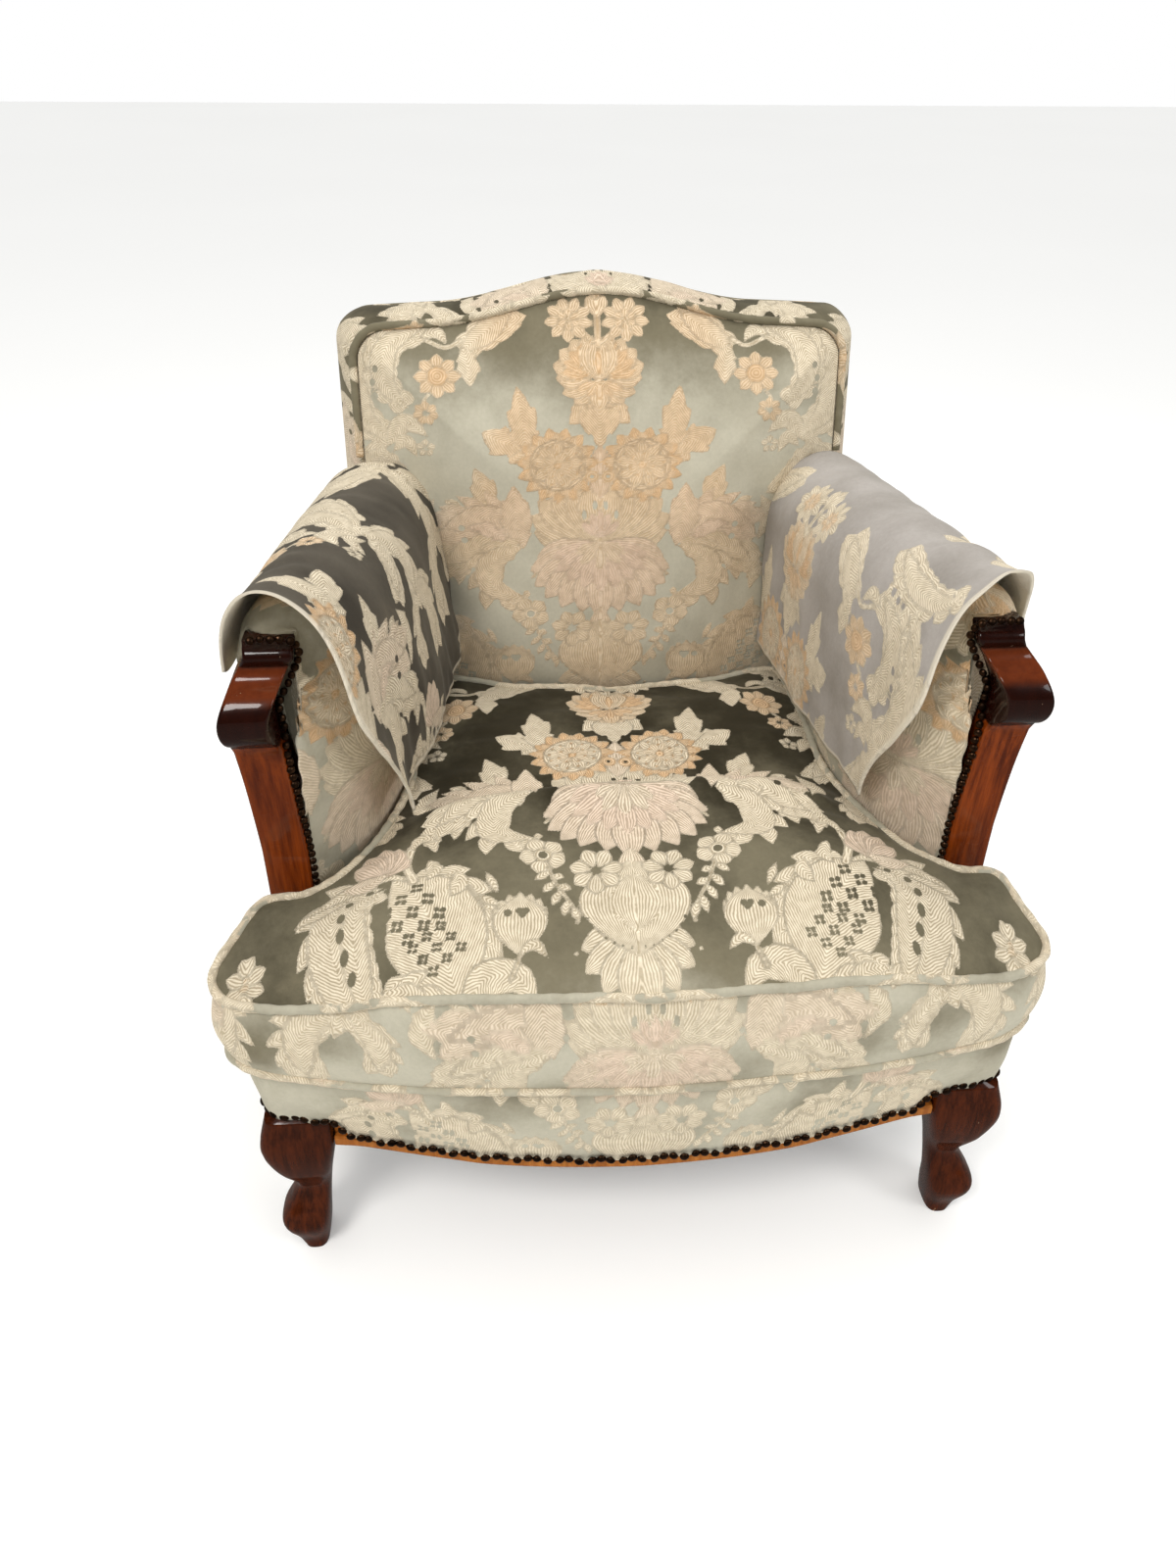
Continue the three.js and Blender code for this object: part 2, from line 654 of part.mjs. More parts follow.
// The arm's line in front view, from the inner foot over the roll to the outer skirt
function armLine(share, grow = 0, top = armTop(share), limit = (x) => x) {
  const [foot, inner] = [limit(armInnerFoot(share), share), limit(armInnerTop(share), share)];
  const outer = armOuter(share);
  const middle = (inner + outer) / 2;
  const up = (part) => lerp(armFootZ, armRollZ, part);
  const face = profile([armFootZ, foot], [up(0.4), foot], [up(0.8), lerp(foot, inner, 0.9)],
    [armRollZ, inner]);
  const rise = steps(6, armFootZ, armRollZ).map((z) => [face(z) - grow, z]);
  const over = steps(6, Math.PI, 0.5 * Math.PI).slice(1).map((angle) => [
    middle + (middle - inner + grow) * Math.cos(angle),
    armRollZ + (top - armRollZ + grow) * Math.sin(angle)]);
  const down = steps(6, 0.5 * Math.PI, 0).slice(1).map((angle) => [
    middle + (outer - middle + grow) * Math.cos(angle),
    armRollZ + 8 + (top - armRollZ - 8 + grow) * Math.sin(angle)]);
  return [...rise, ...over, ...down];
}

const armFrontY = postFrontY - 2;
const armY = (share, z, front = armFrontY) => lerp(front, backY(z) - 1, share);

function armBlock(grow, reach = 1) {
  const shares = [0, 0.05, 0.1, 0.16, 0.24, 0.34, 0.46, 0.6, 0.8, reach];
  return loft(shares.map((share) => {
    const line = armLine(share, grow);
    const outerFoot = [line[line.length - 1][0], armFootZ - grow];
    const innerFoot = [line[0][0], armFootZ - grow];
    return [innerFoot, ...line.slice(1), outerFoot].map(
      ([x, z]) => new THREE.Vector3(x, armY(share, z), z));
  }));
}

// The arm rail's outer edge in plan, straight from the post's back to the upright
const armRailTopZ = armSkirtZ + 14;
const armRailNearY = postBackY + seatGap;
const armRailFarY = (z) => backY(z, uprightNearD) - seatGap;
const armRailOuter = (y) => lerp(postInnerX + postWidth - 6, uprightOuterX - 2,
  (y - armRailNearY) / (armRailFarY(armRailTopZ) - armRailNearY));

// The hollow between the inside and outside of an arm, which its rail runs through
function armHollow() {
  const lid = armRailTopZ + seatGap;
  return loft(steps(8, 60, backY(armTopFrontZ) + 40).map((y) => {
    const inner = armRailOuter(y) - armRailWidth - seatGap;
    const skirt = sideLine(0.84 * Math.max((y - armFrontY) / (backY(armRollZ) - armFrontY), 0)) - 10;
    return [[inner, armFootZ - 20], [inner, lid], [skirt, lid], [skirt, armSkirtZ],
      [skirt + 60, armSkirtZ], [skirt + 60, armFootZ - 20],
    ].map(([x, z]) => new THREE.Vector3(x, y, z));
  }));
}

// Room for the post: everything beyond its inner face and in front of its back
function postRoom() {
  const levels = [armFootZ - 20, ...steps(5, leanFootZ, knuckleZ), knuckleZ + 12, leanNeckZ,
    leanNeckZ + 10, topRollZ, postTopZ + seatGap];
  return loft(levels.map((z) => {
    const inner = postInnerX + postLean(z) - 3 * seatGap;
    return [[inner, postFrontY - 60], [inner + 120, postFrontY - 60],
      [inner + 120, postBackY + seatGap], [inner, postBackY + seatGap],
    ].map(([x, y]) => new THREE.Vector3(x, y, z));
  }));
}
pair('arm_pad', cut(armBlock(0), armHollow(), postRoom()), velvet);

// Arm rails, from the post's back to the upright's face
function armRail(grow = 0) {
  const [low, high] = [armRailTopZ - armRailHeight - grow, armRailTopZ + grow];
  const corner = (part, inset, z) => {
    const y = lerp(armRailNearY, armRailFarY(z), part);
    return new THREE.Vector3(armRailOuter(y) - inset, y, z);
  };
  return loft(steps(2).map((part) => [corner(part, -grow, low), corner(part, -grow, high),
    corner(part, armRailWidth + grow, high), corner(part, armRailWidth + grow, low)]));
}
pair('arm_rail', armRail(), plainWood);

// Outside arms: a stretched panel from the post to the rear edge of the back. Behind the arm's end its top
// rises past the arm rail and leans in to the back's border.
const armEndShare = 0.797;
const boxingFootZ = armRailTopZ + 4;

function outsideArm() {
  const behind = (share) => smooth(share, armEndShare, armEndShare + 0.02);
  const levels = [() => armPanelFootZ, () => armSkirtZ - seatGap - 2,
    (share) => lerp(armSkirtZ - seatGap, boxingFootZ + 14, behind(share))];
  const stations = [...steps(5, 0, armEndShare), armEndShare + 0.02, 0.88, 0.94, 1];
  return loft(levels.map((level, i) => {
    const place = (share, inset) => {
      const lean = i === 2 ? behind(share) * (sideLine(share) - sideLine(1)) : 0;
      const [z, y] = [level(share), lerp(panelFrontY, backY(level(share), backDepth) - 1, share)];
      return new THREE.Vector3(sideLine(share) - inset - lean, y, z);
    };
    return [...stations.map((share) => place(share, 0)),
      ...stations.map((share) => place(share, panelThickness)).reverse()];
  }), 'strip');
}
pair('outside_arm', outsideArm(), velvet);

// Arm covers: lined rectangles hung over the arms, with a pointed corner at the front of the inner side

const capInner = (inner, share) => Math.min(inner, profile([0, fromPost(0.67)], [0.2, fromPost(0.87)],
  [0.4, armInnerFrontX - 2], [1, armInnerBackX])(share));

function armCap() {
  const front = (part) => lerp(capTipY, capFrontY, smooth(part, 0, 0.42));
  const stations = [0, 0.05, 0.11, 0.19, 0.3, 0.43, 0.58, 0.76, capRearShare];
  return loft(stations.map((station) => {
    const faceOf = (grow) => {
      const heights = armLine(station, grow, capTop(station));
      const hemAt = heights.findIndex(([, z]) => z > capInnerHemZ);
      const parts = heights.length - hemAt;
      return heights.slice(hemAt - 1).map(([, level], i) => {
        const ahead = lerp(front(i / parts), capFrontY, station);
        const hem = [capInnerHemZ, ...Array(parts - 1), capOuterHemZ][i];
        const z = hem ?? level;
        const y = lerp(ahead, backY(z) - 2, station);
        const share = Math.max((y - armFrontY) / (backY(z) - 1 - armFrontY), 0);
        const line = armLine(share, grow, capTop(share), capInner);
        const [x, top] = line[hemAt - 1 + i];
        return new THREE.Vector3(x, y, hem ?? top);
      });
    };
    return [...faceOf(capClearance), ...faceOf(capClearance + coverThickness).reverse()];
  }), 'strip');
}
pair('arm_cap', armCap(), paleVelvet);

// Loose cushion: box-edged, worn into a hollow behind a crease across its middle

const cushionWelt = (x, y) => lerp(
  lerp(cushionFrontZ, cushionCornerZ, smooth(Math.abs(x), 150, cushionEarX)),
  cushionSideZ, smooth(y, 0, 110));
const cushionTop = (share) => (x, y) => {
  const inside = 1 - share ** 2.4;
  const hollow = cushionSag * smooth(y, creaseY - 12, creaseY + 40);
  const crease = creaseDepth * Math.exp(-(((y - creaseY) / 14) ** 2));
  return cushionWelt(x, y) + inside * (cushionCrown - hollow) - Math.min(inside * 3, 1) * crease;
};

const cushionCord = 3.4;
const cushionInset = cushionCord + 2 * seatGap;
add('seat_cushion', loft([
  seatRing(0.9, cushionInset, () => cushionFootZ),
  seatRing(1, cushionInset, () => cushionFootZ + cushionCord),
  seatRing(1, cushionInset - 2, (x, y) => lerp(cushionFootZ, cushionWelt(x, y), 0.5)),
  seatRing(1, cushionInset, cushionWelt),
  ...[0.97, 0.87, 0.75, 0.62, 0.48, 0.32, 0.16].map(
    (share) => seatRing(share, cushionInset, cushionTop(share))),
]), velvet);

// A cord sewn along the cushion's edge
function weltRing(height) {
  return loft(seatRing(1, 0, height).map((p, i) => steps(4, 0, 2 * Math.PI * 4 / 5).map(
    (angle) => p.clone().addScaledVector(seatInward[i], cushionCord * Math.cos(angle))
      .add(new THREE.Vector3(0, 0, cushionCord * Math.sin(angle))))), 'joined');
}
add('cushion_welt_top', weltRing(cushionWelt), velvet);
add('cushion_welt_bottom', weltRing(() => cushionFootZ + cushionCord), velvet);

// Back, modelled upright in its own group and then raked

const back = new THREE.Group();
back.position.set(0, backFaceY, backFaceZ);
back.rotation.x = -rake;
chair.add(back);

// The back's outline in front view, from the foot of one side over the camel top to the other
function backLine(inset, swell = 0, foot = backFootW) {
  const half = backWeltHalf + swell - inset;
  const shoulder = backShoulder + 0.9 * swell - inset;
  const corner = backCorner;
  const crest = (x) => shoulder - 9 * (x / half) ** 2
    + backHump * Math.cos(0.5 * Math.PI * Math.min(x / backHumpHalf, 1)) ** 2;
  const turnX = half - corner;
  const turnW = crest(turnX) - corner;
  const top = steps(9, 0, turnX).map((x) => [x, crest(x)]);
  const turn = steps(4, 0.5 * Math.PI, 0).slice(1).map(
    (angle) => [turnX + corner * Math.cos(angle), turnW + corner * Math.sin(angle)]);
  const side = steps(5, turnW, foot).slice(1).map((w) => [half, w]);
  const right = [...top, ...turn, ...side];
  return [...right.slice(1).reverse().map(([x, w]) => [-x, w]), ...right];
}
const backRing = (depth, inset, swell, foot) =>
  backLine(inset, swell, foot).map(([x, w]) => new THREE.Vector3(x, depth, w));

const backBoxing = 10;
const boxingFootW = (depth) => (boxingFootZ - backFaceZ) / Math.cos(rake) + depth * Math.tan(rake);
const weltFootW = (armTopBackZ + 12 - backFaceZ) / Math.cos(rake);
const lipDepth = 7;
const lipInset = 5;

function insideBack() {
  const middle = new THREE.Vector3(0, 0, 110);
  const crownRing = (share) => backRing(0, lipInset, 0).map((p) => {
    const at = p.clone().sub(middle).multiplyScalar(share).add(middle);
    const betweenArms = Math.max(1 - Math.abs(at.x / (cushionRearX + 12)) ** 2.4, 0);
    const swell = lerp(betweenArms, 1, smooth(at.z, 0.32 * backShoulder, 0.7 * backShoulder));
    return new THREE.Vector3(at.x, -backCrown * (1 - share ** 3) * swell, at.z);
  });
  return loft([
    backRing(stuffingDepth, backBoxing + 4), backRing(lipDepth, backBoxing + 4),
    backRing(lipDepth - seatGap, lipInset), ...[1, 0.93, 0.84, 0.72, 0.58, 0.4, 0.2].map(crownRing)]);
}

// The arms bed into the stuffed back, so their shape is taken out of it
function bedded(geometry) {
  const upright = new THREE.Matrix4().makeRotationX(rake)
    .multiply(new THREE.Matrix4().makeTranslation(0, -backFaceY, -backFaceZ));
  const arm = armBlock(capClearance + coverThickness + 1, 1.003).applyMatrix4(upright);
  const rail = armRail(1).applyMatrix4(upright);
  return cut(geometry, arm, mirrored(arm), rail, mirrored(rail));
}
add('inside_back', bedded(insideBack()), velvet, back);

function backBorder() {
  const layers = [[lipDepth + 1, 0], [0.3 * backDepth, 0.62], [uprightNearD, 1], [backDepth - 6, 0.93]];
  const ringsAt = (inset) => layers.map(
    ([depth, share]) => backRing(depth, inset, share * backSwell + 2, boxingFootW(depth)));
  const rings = [...ringsAt(0), ...ringsAt(backBoxing).reverse()];
  return loft(rings[0].map((_, i) => rings.map((ring) => ring[i])), 'strip');
}
add('back_border', backBorder(), velvet, back);

const backWeltPath = new THREE.CatmullRomCurve3(
  backLine(-0.3, 0, weltFootW).map(([x, w]) => new THREE.Vector3(x, 1.5, w)), false, 'centripetal');
add('back_welt', cordAlong(backWeltPath, weltRadius, 5, 56), velvet, back);

const outsideFootW = (armPanelFootZ - backFaceZ) / Math.cos(rake) + backDepth * Math.tan(rake);
const outsideShape = shapeOf(backLine(1, 0.93 * backSwell, outsideFootW));
add('outside_back', upright(outsideShape, backDepth - 5, backDepth - 5 + panelThickness), velvet, back);

// Crest rail, stay rail and webbing that carry the back's stuffing
function crestRail() {
  const line = backLine(backBoxing + 4, backSwell, crestFootW).filter(([, w]) => w >= crestFootW);
  return upright(shapeOf(line), uprightNearD, uprightFarD);
}
add('crest_rail', crestRail(), plainWood, back);

const stayHalf = uprightOuterX - uprightWidth - seatGap;
const stayRail = shapeOf([[-stayHalf, stayRailLowW], [stayHalf, stayRailLowW],
  [stayHalf, stayRailLowW + stayRailHeight], [-stayHalf, stayRailLowW + stayRailHeight]]);
add('back_stay_rail', upright(stayRail, uprightNearD, uprightFarD - 8), plainWood, back);

function backWebbing() {
  const [low, high] = [stayRailLowW + 4, crestFootW + 18];
  const half = stayHalf - 6;
  const long = [-1, 0, 1].map((i) => 0.62 * i * half).map(
    (x) => strip(x - halfStrip, x + halfStrip, low, high));
  const cross = steps(3, low + 60, crestFootW - 40).map(
    (w) => strip(-half, half, w - halfStrip, w + halfStrip, crossInset));
  return joined(...long, ...cross).applyMatrix4(alongY).translate(0, uprightNearD - seatGap, 0);
}
add('back_webbing', backWebbing(), jute, back);

// Cambric under the seat
function dustCover() {
  const top = webbingLowZ - seatGap;
  const farY = webbingFarY;
  const front = steps(8, legInnerX - 3, -legInnerX + 3).map((x) => [x, bow(x) + railThickness + 1]);
  const line = [[legInnerX - 3, legBackY + 2], [webbingHalf(legBackY), legBackY + 2],
    [webbingHalf(farY), farY]];
  const shape = shapeOf([...line, ...line.map(([x, y]) => [-x, y]).reverse(), ...front.reverse()]);
  return raised(shape, top - liningThickness, top);
}
add('dust_cover', dustCover(), cambric);

// Set over the middle of its own footprint
chair.updateMatrixWorld(true);
const extent = new THREE.Box3().setFromObject(chair, true);
chair.position.set(
  -(extent.min.x + extent.max.x) / 2, -(extent.min.y + extent.max.y) / 2, -extent.min.z);

export default chair;
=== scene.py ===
"""A sagging, well-worn armchair: cut velvet with a traditional floral pattern, show-wood arm posts and legs,
rows of bronze nails, a loose T-shaped cushion and a loose lined cover over each arm.

Lengths are millimetres until a mesh is made. X runs to the right of someone looking at the chair's front and
Z up. Y runs back from the tips of the front feet, and place() moves it to the frame's own origin."""

import bpy
import numpy as np
from mathutils import Matrix


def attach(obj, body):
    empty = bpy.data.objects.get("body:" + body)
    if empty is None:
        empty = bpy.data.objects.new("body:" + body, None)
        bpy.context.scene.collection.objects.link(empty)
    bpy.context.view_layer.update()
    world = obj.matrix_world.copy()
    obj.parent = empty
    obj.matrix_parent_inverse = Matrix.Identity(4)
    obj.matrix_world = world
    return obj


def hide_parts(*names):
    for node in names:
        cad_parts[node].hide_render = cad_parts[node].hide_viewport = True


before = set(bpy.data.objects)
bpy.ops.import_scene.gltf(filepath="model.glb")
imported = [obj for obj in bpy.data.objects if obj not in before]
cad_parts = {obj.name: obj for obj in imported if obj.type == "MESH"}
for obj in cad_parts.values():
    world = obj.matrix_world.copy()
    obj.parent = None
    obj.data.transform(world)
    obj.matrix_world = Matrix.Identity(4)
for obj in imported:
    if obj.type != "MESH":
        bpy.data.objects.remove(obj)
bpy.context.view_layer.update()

MM = 0.001
PI = np.pi

leg = np.array([v.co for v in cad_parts["front_leg_right"].data.vertices]) / MM
FEET_Y = leg[leg[:, 2] < 1, 1].min()

# Numbers and curves


def lerp(a, b, t):
    return a + (b - a) * t


def smooth(t, low, high):
    s = np.clip((np.asarray(t, float) - low) / (high - low), 0, 1)
    return s * s * (3 - 2 * s)


def through(knots, values, t):
    """Smooth values at t through the knots' values, level beyond the first and the last."""
    knots, values = np.asarray(knots, float), np.asarray(values, float)
    last = len(knots) - 1
    before, after = np.maximum(np.arange(last + 1) - 1, 0), np.minimum(np.arange(last + 1) + 1, last)
    span = (knots[after] - knots[before]).reshape((-1,) + (1,) * (values.ndim - 1))
    slope = (values[after] - values[before]) / span
    t = np.clip(np.asarray(t, float), knots[0], knots[-1])
    i = np.clip(np.searchsorted(knots, t, "right") - 1, 0, last - 1)
    width = knots[i + 1] - knots[i]
    s = (t - knots[i]) / width
    if values.ndim > 1:
        s, width = s[..., None], width[..., None]
    bend = s * (1 - s) ** 2 * width * slope[i] + s * s * (s - 1) * width * slope[i + 1]
    return values[i] + (values[i + 1] - values[i]) * s * s * (3 - 2 * s) + bend


def profile(*knots):
    at, values = zip(*knots)
    return lambda t: through(at, values, t)


def unit(vectors):
    return vectors / np.maximum(np.linalg.norm(vectors, axis=-1, keepdims=True), 1e-9)


def turned(step, angle):
    """A step in the plane, turned anticlockwise."""
    c, s = np.cos(angle), np.sin(angle)
    return np.array([step[0] * c - step[1] * s, step[0] * s + step[1] * c])


def run_of(points, power=1):
    """How far along its line each point lies, for one line or for rows of lines."""
    steps = np.linalg.norm(np.diff(points, axis=-2), axis=-1) ** power
    return np.concatenate([np.zeros(steps.shape[:-1] + (1,)), np.cumsum(steps, -1)], -1)


def spaced(points, count):
    """As many points, evenly spaced along a line of points."""
    points = np.asarray(points, float)
    along = run_of(points)
    at = np.linspace(0, along[-1], count)
    return np.stack([np.interp(at, along, points[:, k]) for k in range(points.shape[1])], 1)


def spline(points, count, fine=1500):
    """As many points, evenly spaced, on a smooth curve through the given ones."""
    points = np.asarray(points, float)
    knots = run_of(points, 0.5)
    return spaced(through(knots, points, np.linspace(0, knots[-1], fine)), count)


def ripple(x, y, size, seed):
    """Gentle random-looking waves about as long as size, from -1 to 1."""
    rng = np.random.default_rng(seed)
    total = np.zeros(np.broadcast(x, y).shape)
    for _ in range(7):
        heading, phase, scale = rng.uniform(0, 2 * PI), rng.uniform(0, 2 * PI), rng.uniform(0.7, 1.6)
        across = (x * np.cos(heading) + y * np.sin(heading)) * 2 * PI * scale / size
        total += np.sin(across + phase)
    return total / 4


# Meshes


def place(points):
    return (np.asarray(points, float).reshape(-1, 3) + [0, FEET_Y, 0]) * MM


def quads(rows, columns, around=False, start=0):
    """Faces between rows of points. With around, each row closes on itself."""
    r = np.arange(rows - 1)[:, None] * columns
    c = np.arange(columns if around else columns - 1)[None]
    d = (c + 1) % columns
    return (start + np.stack([r + c, r + d, r + columns + d, r + columns + c], -1).reshape(-1, 4)).tolist()


def band(upper, lower):
    """Faces between two closed rings of points."""
    return np.stack([upper, lower, np.roll(lower, -1), np.roll(upper, -1)], 1).tolist()


def fan(ring, middle):
    """Faces from a ring of points to one in its middle."""
    return [[int(a), int(b), int(middle)] for a, b in zip(ring, np.roll(ring, -1))]


def outward(points, faces):
    """The faces, turned round if they face into the closed form."""
    corners = np.array([(f[0], b, c) for f in faces for b, c in zip(f[1:], f[2:])])
    a, b, c = np.asarray(points, float).reshape(-1, 3)[corners.T]
    return faces if (a * np.cross(b, c)).sum() > 0 else [f[::-1] for f in faces]


def piece(name, points, faces, material, smooth_faces=True):
    """A mesh in the frame's own place that rides on the chair."""
    mesh = bpy.data.meshes.new(name)
    mesh.from_pydata(place(points).tolist(), [], faces)
    mesh.validate()
    mesh.update()
    if smooth_faces:
        mesh.shade_smooth()
    mesh.materials.append(material)
    made = bpy.data.objects.new(name, mesh)
    bpy.context.scene.collection.objects.link(made)
    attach(made, "root")
    return made


def closed_loft(rings):
    """Points and faces of a body through rings, its two ends closed by fans."""
    rings = np.asarray(rings, float)
    count, around = rings.shape[:2]
    points = np.vstack([rings.reshape(-1, 3), rings[0].mean(0), rings[-1].mean(0)])
    first, last = np.arange(around), (count - 1) * around + np.arange(around)
    ends = fan(first[::-1], count * around) + fan(last, count * around + 1)
    return points, outward(points, quads(count, around, around=True) + ends)


def rim_of(rows, columns):
    """The grid's points round its edge, in order."""
    index = np.arange(rows * columns).reshape(rows, columns)
    return np.r_[index[0], index[1:, -1], index[-1, -2::-1], index[-2:0:-1, 0]]


def panel(outer, inner):
    """Points and faces of a thin closed sheet between two grids of points."""
    rows, columns = outer.shape[:2]
    count = rows * columns
    points = np.vstack([outer.reshape(-1, 3), inner.reshape(-1, 3)])
    ring = rim_of(rows, columns)
    faces = quads(rows, columns) + [f[::-1] for f in quads(rows, columns, start=count)]
    return points, outward(points, faces + band(ring, ring + count))


def stuffed(face, layers, last):
    """Points and faces of a closed body: a grid's face, rings of points behind its edge, and a last point."""
    rows, columns = face.shape[:2]
    ring = rim_of(rows, columns)
    points = np.vstack([face.reshape(-1, 3), *layers, [last]])
    rings = [ring] + [rows * columns + k * len(ring) + np.arange(len(ring)) for k in range(len(layers))]
    faces = quads(rows, columns)
    for upper, lower in zip(rings, rings[1:]):
        faces += band(upper, lower)
    return points, outward(points, faces + fan(rings[-1][::-1], len(points) - 1))


def tube(path, radius, sides=10, closed=False):
    """Points and faces of a round cord along a path. radius may differ from point to point."""
    path = np.asarray(path, float)
    radius = np.broadcast_to(radius, len(path))
    along = np.roll(path, -1, 0) - np.roll(path, 1, 0) if closed else np.gradient(path, axis=0)
    along = unit(along)
    side = unit(np.cross(along, [0, 0, 1.0]))
    up = np.cross(side, along)
    angle = np.linspace(0, 2 * PI, sides, endpoint=False)[None, :, None]
    spokes = np.cos(angle) * side[:, None] + np.sin(angle) * up[:, None]
    rings = path[:, None] + radius[:, None, None] * spokes
    if not closed:
        return closed_loft(rings)
    first, last = np.arange(sides), (len(path) - 1) * sides + np.arange(sides)
    points = rings.reshape(-1, 3)
    return points, outward(points, quads(len(path), sides, around=True) + band(first, last))


def give(made, **fields):
    """Stores named fields of numbers on a mesh's points, for its material to read."""
    for name, values in fields.items():
        layer = made.data.attributes.new(name, "FLOAT", "POINT")
        layer.data.foreach_set("value", np.asarray(values, np.float32).ravel())


# Materials


def srgb(red, green, blue):
    c = np.array([red, green, blue]) / 255
    linear = np.where(c <= 0.04045, c / 12.92, ((c + 0.055) / 1.055) ** 2.4)
    return (*linear.tolist(), 1.0)


class Nodes:
    """Short ways to add nodes to the tree of a material or a world."""

    def __init__(self, owner):
        owner.use_nodes = True
        self.tree = owner.node_tree

    def put(self, node, socket, value):
        if isinstance(value, bpy.types.NodeSocket):
            self.tree.links.new(value, node.inputs[socket])
        else:
            node.inputs[socket].default_value = value

    def add(self, kind, inputs=None, **settings):
        node = self.tree.nodes.new("ShaderNode" + kind)
        for key, value in settings.items():
            setattr(node, key, value)
        for socket, value in (inputs or {}).items():
            self.put(node, socket, value)
        return node

    def math(self, operation, a, b=0.0, c=0.0):
        return self.add("Math", {0: a, 1: b, 2: c}, operation=operation).outputs[0]

    def times(self, a, b):
        return self.math("MULTIPLY", a, b)

    def affine(self, value, factor, offset):
        return self.math("MULTIPLY_ADD", value, factor, offset)


class Shader(Nodes):
    """A material, and short ways to build its colour and relief."""

    def __init__(self, name, **constants):
        self.material = bpy.data.materials.new(name)
        super().__init__(self.material)
        self.surface = self.tree.nodes["Principled BSDF"]
        for socket, value in constants.items():
            self.surface.inputs[socket.replace("_", " ")].default_value = value

    def field(self, name):
        return self.add("Attribute", attribute_name=name).outputs["Fac"]

    def ramp(self, value, low, high, to_low=0.0, to_high=1.0):
        return self.add("MapRange", {0: value, 1: low, 2: high, 3: to_low, 4: to_high},
                        interpolation_type="SMOOTHSTEP").outputs[0]

    def mix(self, share, a, b, blend="MIX"):
        return self.add("Mix", {0: share, 6: a, 7: b}, data_type="RGBA", blend_type=blend).outputs[2]

    def place(self, scale=(1, 1, 1)):
        coords = self.add("TexCoord").outputs["Object"]
        return self.add("Mapping", {0: coords, 3: scale}).outputs[0]

    def noise(self, scale, detail=3.0, where=None, stretch=(1, 1, 1), roughness=0.5):
        return self.add("TexNoise", {"Vector": where or self.place(stretch), "Scale": scale,
                                     "Detail": detail, "Roughness": roughness}).outputs["Fac"]

    def finish(self, colour=None, roughness=None, height=None, strength=0.5, depth=0.001):
        for socket, value in (("Base Color", colour), ("Roughness", roughness)):
            if value is not None:
                self.put(self.surface, socket, value)
        if height is not None:
            bump = self.add("Bump", {"Strength": strength, "Distance": depth, "Height": height})
            self.tree.links.new(bump.outputs[0], self.surface.inputs["Normal"])
        return self.material


RIB_PITCH = 3.0
WHITE = (1, 1, 1, 1)
LINING = srgb(214, 205, 186)
CREAM, IVORY = srgb(200, 184, 156), srgb(228, 217, 194)
GOLD, DEEP_GOLD = srgb(222, 184, 138), srgb(206, 158, 106)
PINK = srgb(222, 192, 174)
DARK_GROUND, MID_GROUND, LIGHT_GROUND = srgb(46, 41, 27), srgb(118, 111, 90), srgb(190, 185, 166)


def brocade(name, dark=DARK_GROUND, middle=MID_GROUND, light=LIGHT_GROUND):
    """Cut velvet: a pile ground, and flat woven motifs ribbed with paler thread."""
    s = Shader(name, Roughness=0.86, Sheen_Weight=0.14, Sheen_Roughness=0.4,
               Sheen_Tint=srgb(232, 226, 206), Specular_IOR_Level=0.15)
    frayed = s.affine(s.noise(700, 2), 2.4, -1.2)
    motif = s.ramp(s.math("ADD", s.field("motif"), frayed), -0.5, 0.5)
    outline = s.times(s.ramp(s.field("line"), 1.5, 0.25), motif)
    wandering = s.affine(s.noise(85, 2), 3.6, s.field("rib"))
    turns = s.times(wandering, 2 * PI / RIB_PITCH)
    rib = s.affine(s.math("SINE", turns), 0.5, 0.5)
    pile = s.noise(260, 4)
    brushed = s.noise(18, 7, roughness=0.68)
    weave = s.noise(900, 2)

    # The piece's shade field sets the ground's lightness, with its painted shade and painted sheen where a
    # piece has them.
    shade = s.math("ADD", s.field("shade"), s.affine(brushed, 0.5, -0.25))
    low = s.mix(s.ramp(shade, 0.0, 0.5), dark, middle)
    ground = s.mix(s.ramp(shade, 0.45, 1.0), low, light)
    ground = s.mix(0.3, ground, s.mix(pile, (0.4, 0.4, 0.38, 1), WHITE), "MULTIPLY")

    thread = s.mix(rib, CREAM, IVORY)
    gold = s.mix(s.affine(brushed, 0.6, 0.2), GOLD, DEEP_GOLD)
    thread = s.mix(s.times(s.field("gold"), s.affine(rib, -0.3, 0.95)), thread, gold)
    thread = s.mix(s.times(s.field("pink"), 0.75), thread, PINK)
    gaps = s.times(s.ramp(rib, 0.6, 0.2), s.affine(s.field("fade"), -0.3, 0.5))
    thread = s.mix(gaps, thread, s.mix(0.25, ground, thread))
    edges = s.times(outline, s.affine(s.field("fade"), -0.3, 0.5))
    thread = s.mix(edges, thread, s.mix(0.3, ground, thread))
    clouds, specks = s.noise(7, 4), s.ramp(s.noise(130, 4), 0.35, 0.65)
    thread = s.mix(0.3, thread, s.mix(clouds, (0.7, 0.68, 0.64, 1), WHITE), "MULTIPLY")
    thread = s.mix(0.5, thread, s.mix(specks, (0.72, 0.7, 0.66, 1), WHITE), "MULTIPLY")
    colour = s.mix(motif, ground, thread)
    colour = s.mix(s.field("lining"), colour, LINING)
    grime = s.ramp(s.noise(9, 6, roughness=0.7), 0.56, 0.8)
    colour = s.mix(s.times(grime, 0.22), colour, srgb(120, 108, 84))

    height = s.affine(motif, 0.55, s.times(s.times(rib, motif), 0.4))
    height = s.affine(weave, 0.22, height)
    height = s.affine(outline, -0.3, height)
    return s.finish(colour, height=height, strength=0.55, depth=0.0012)


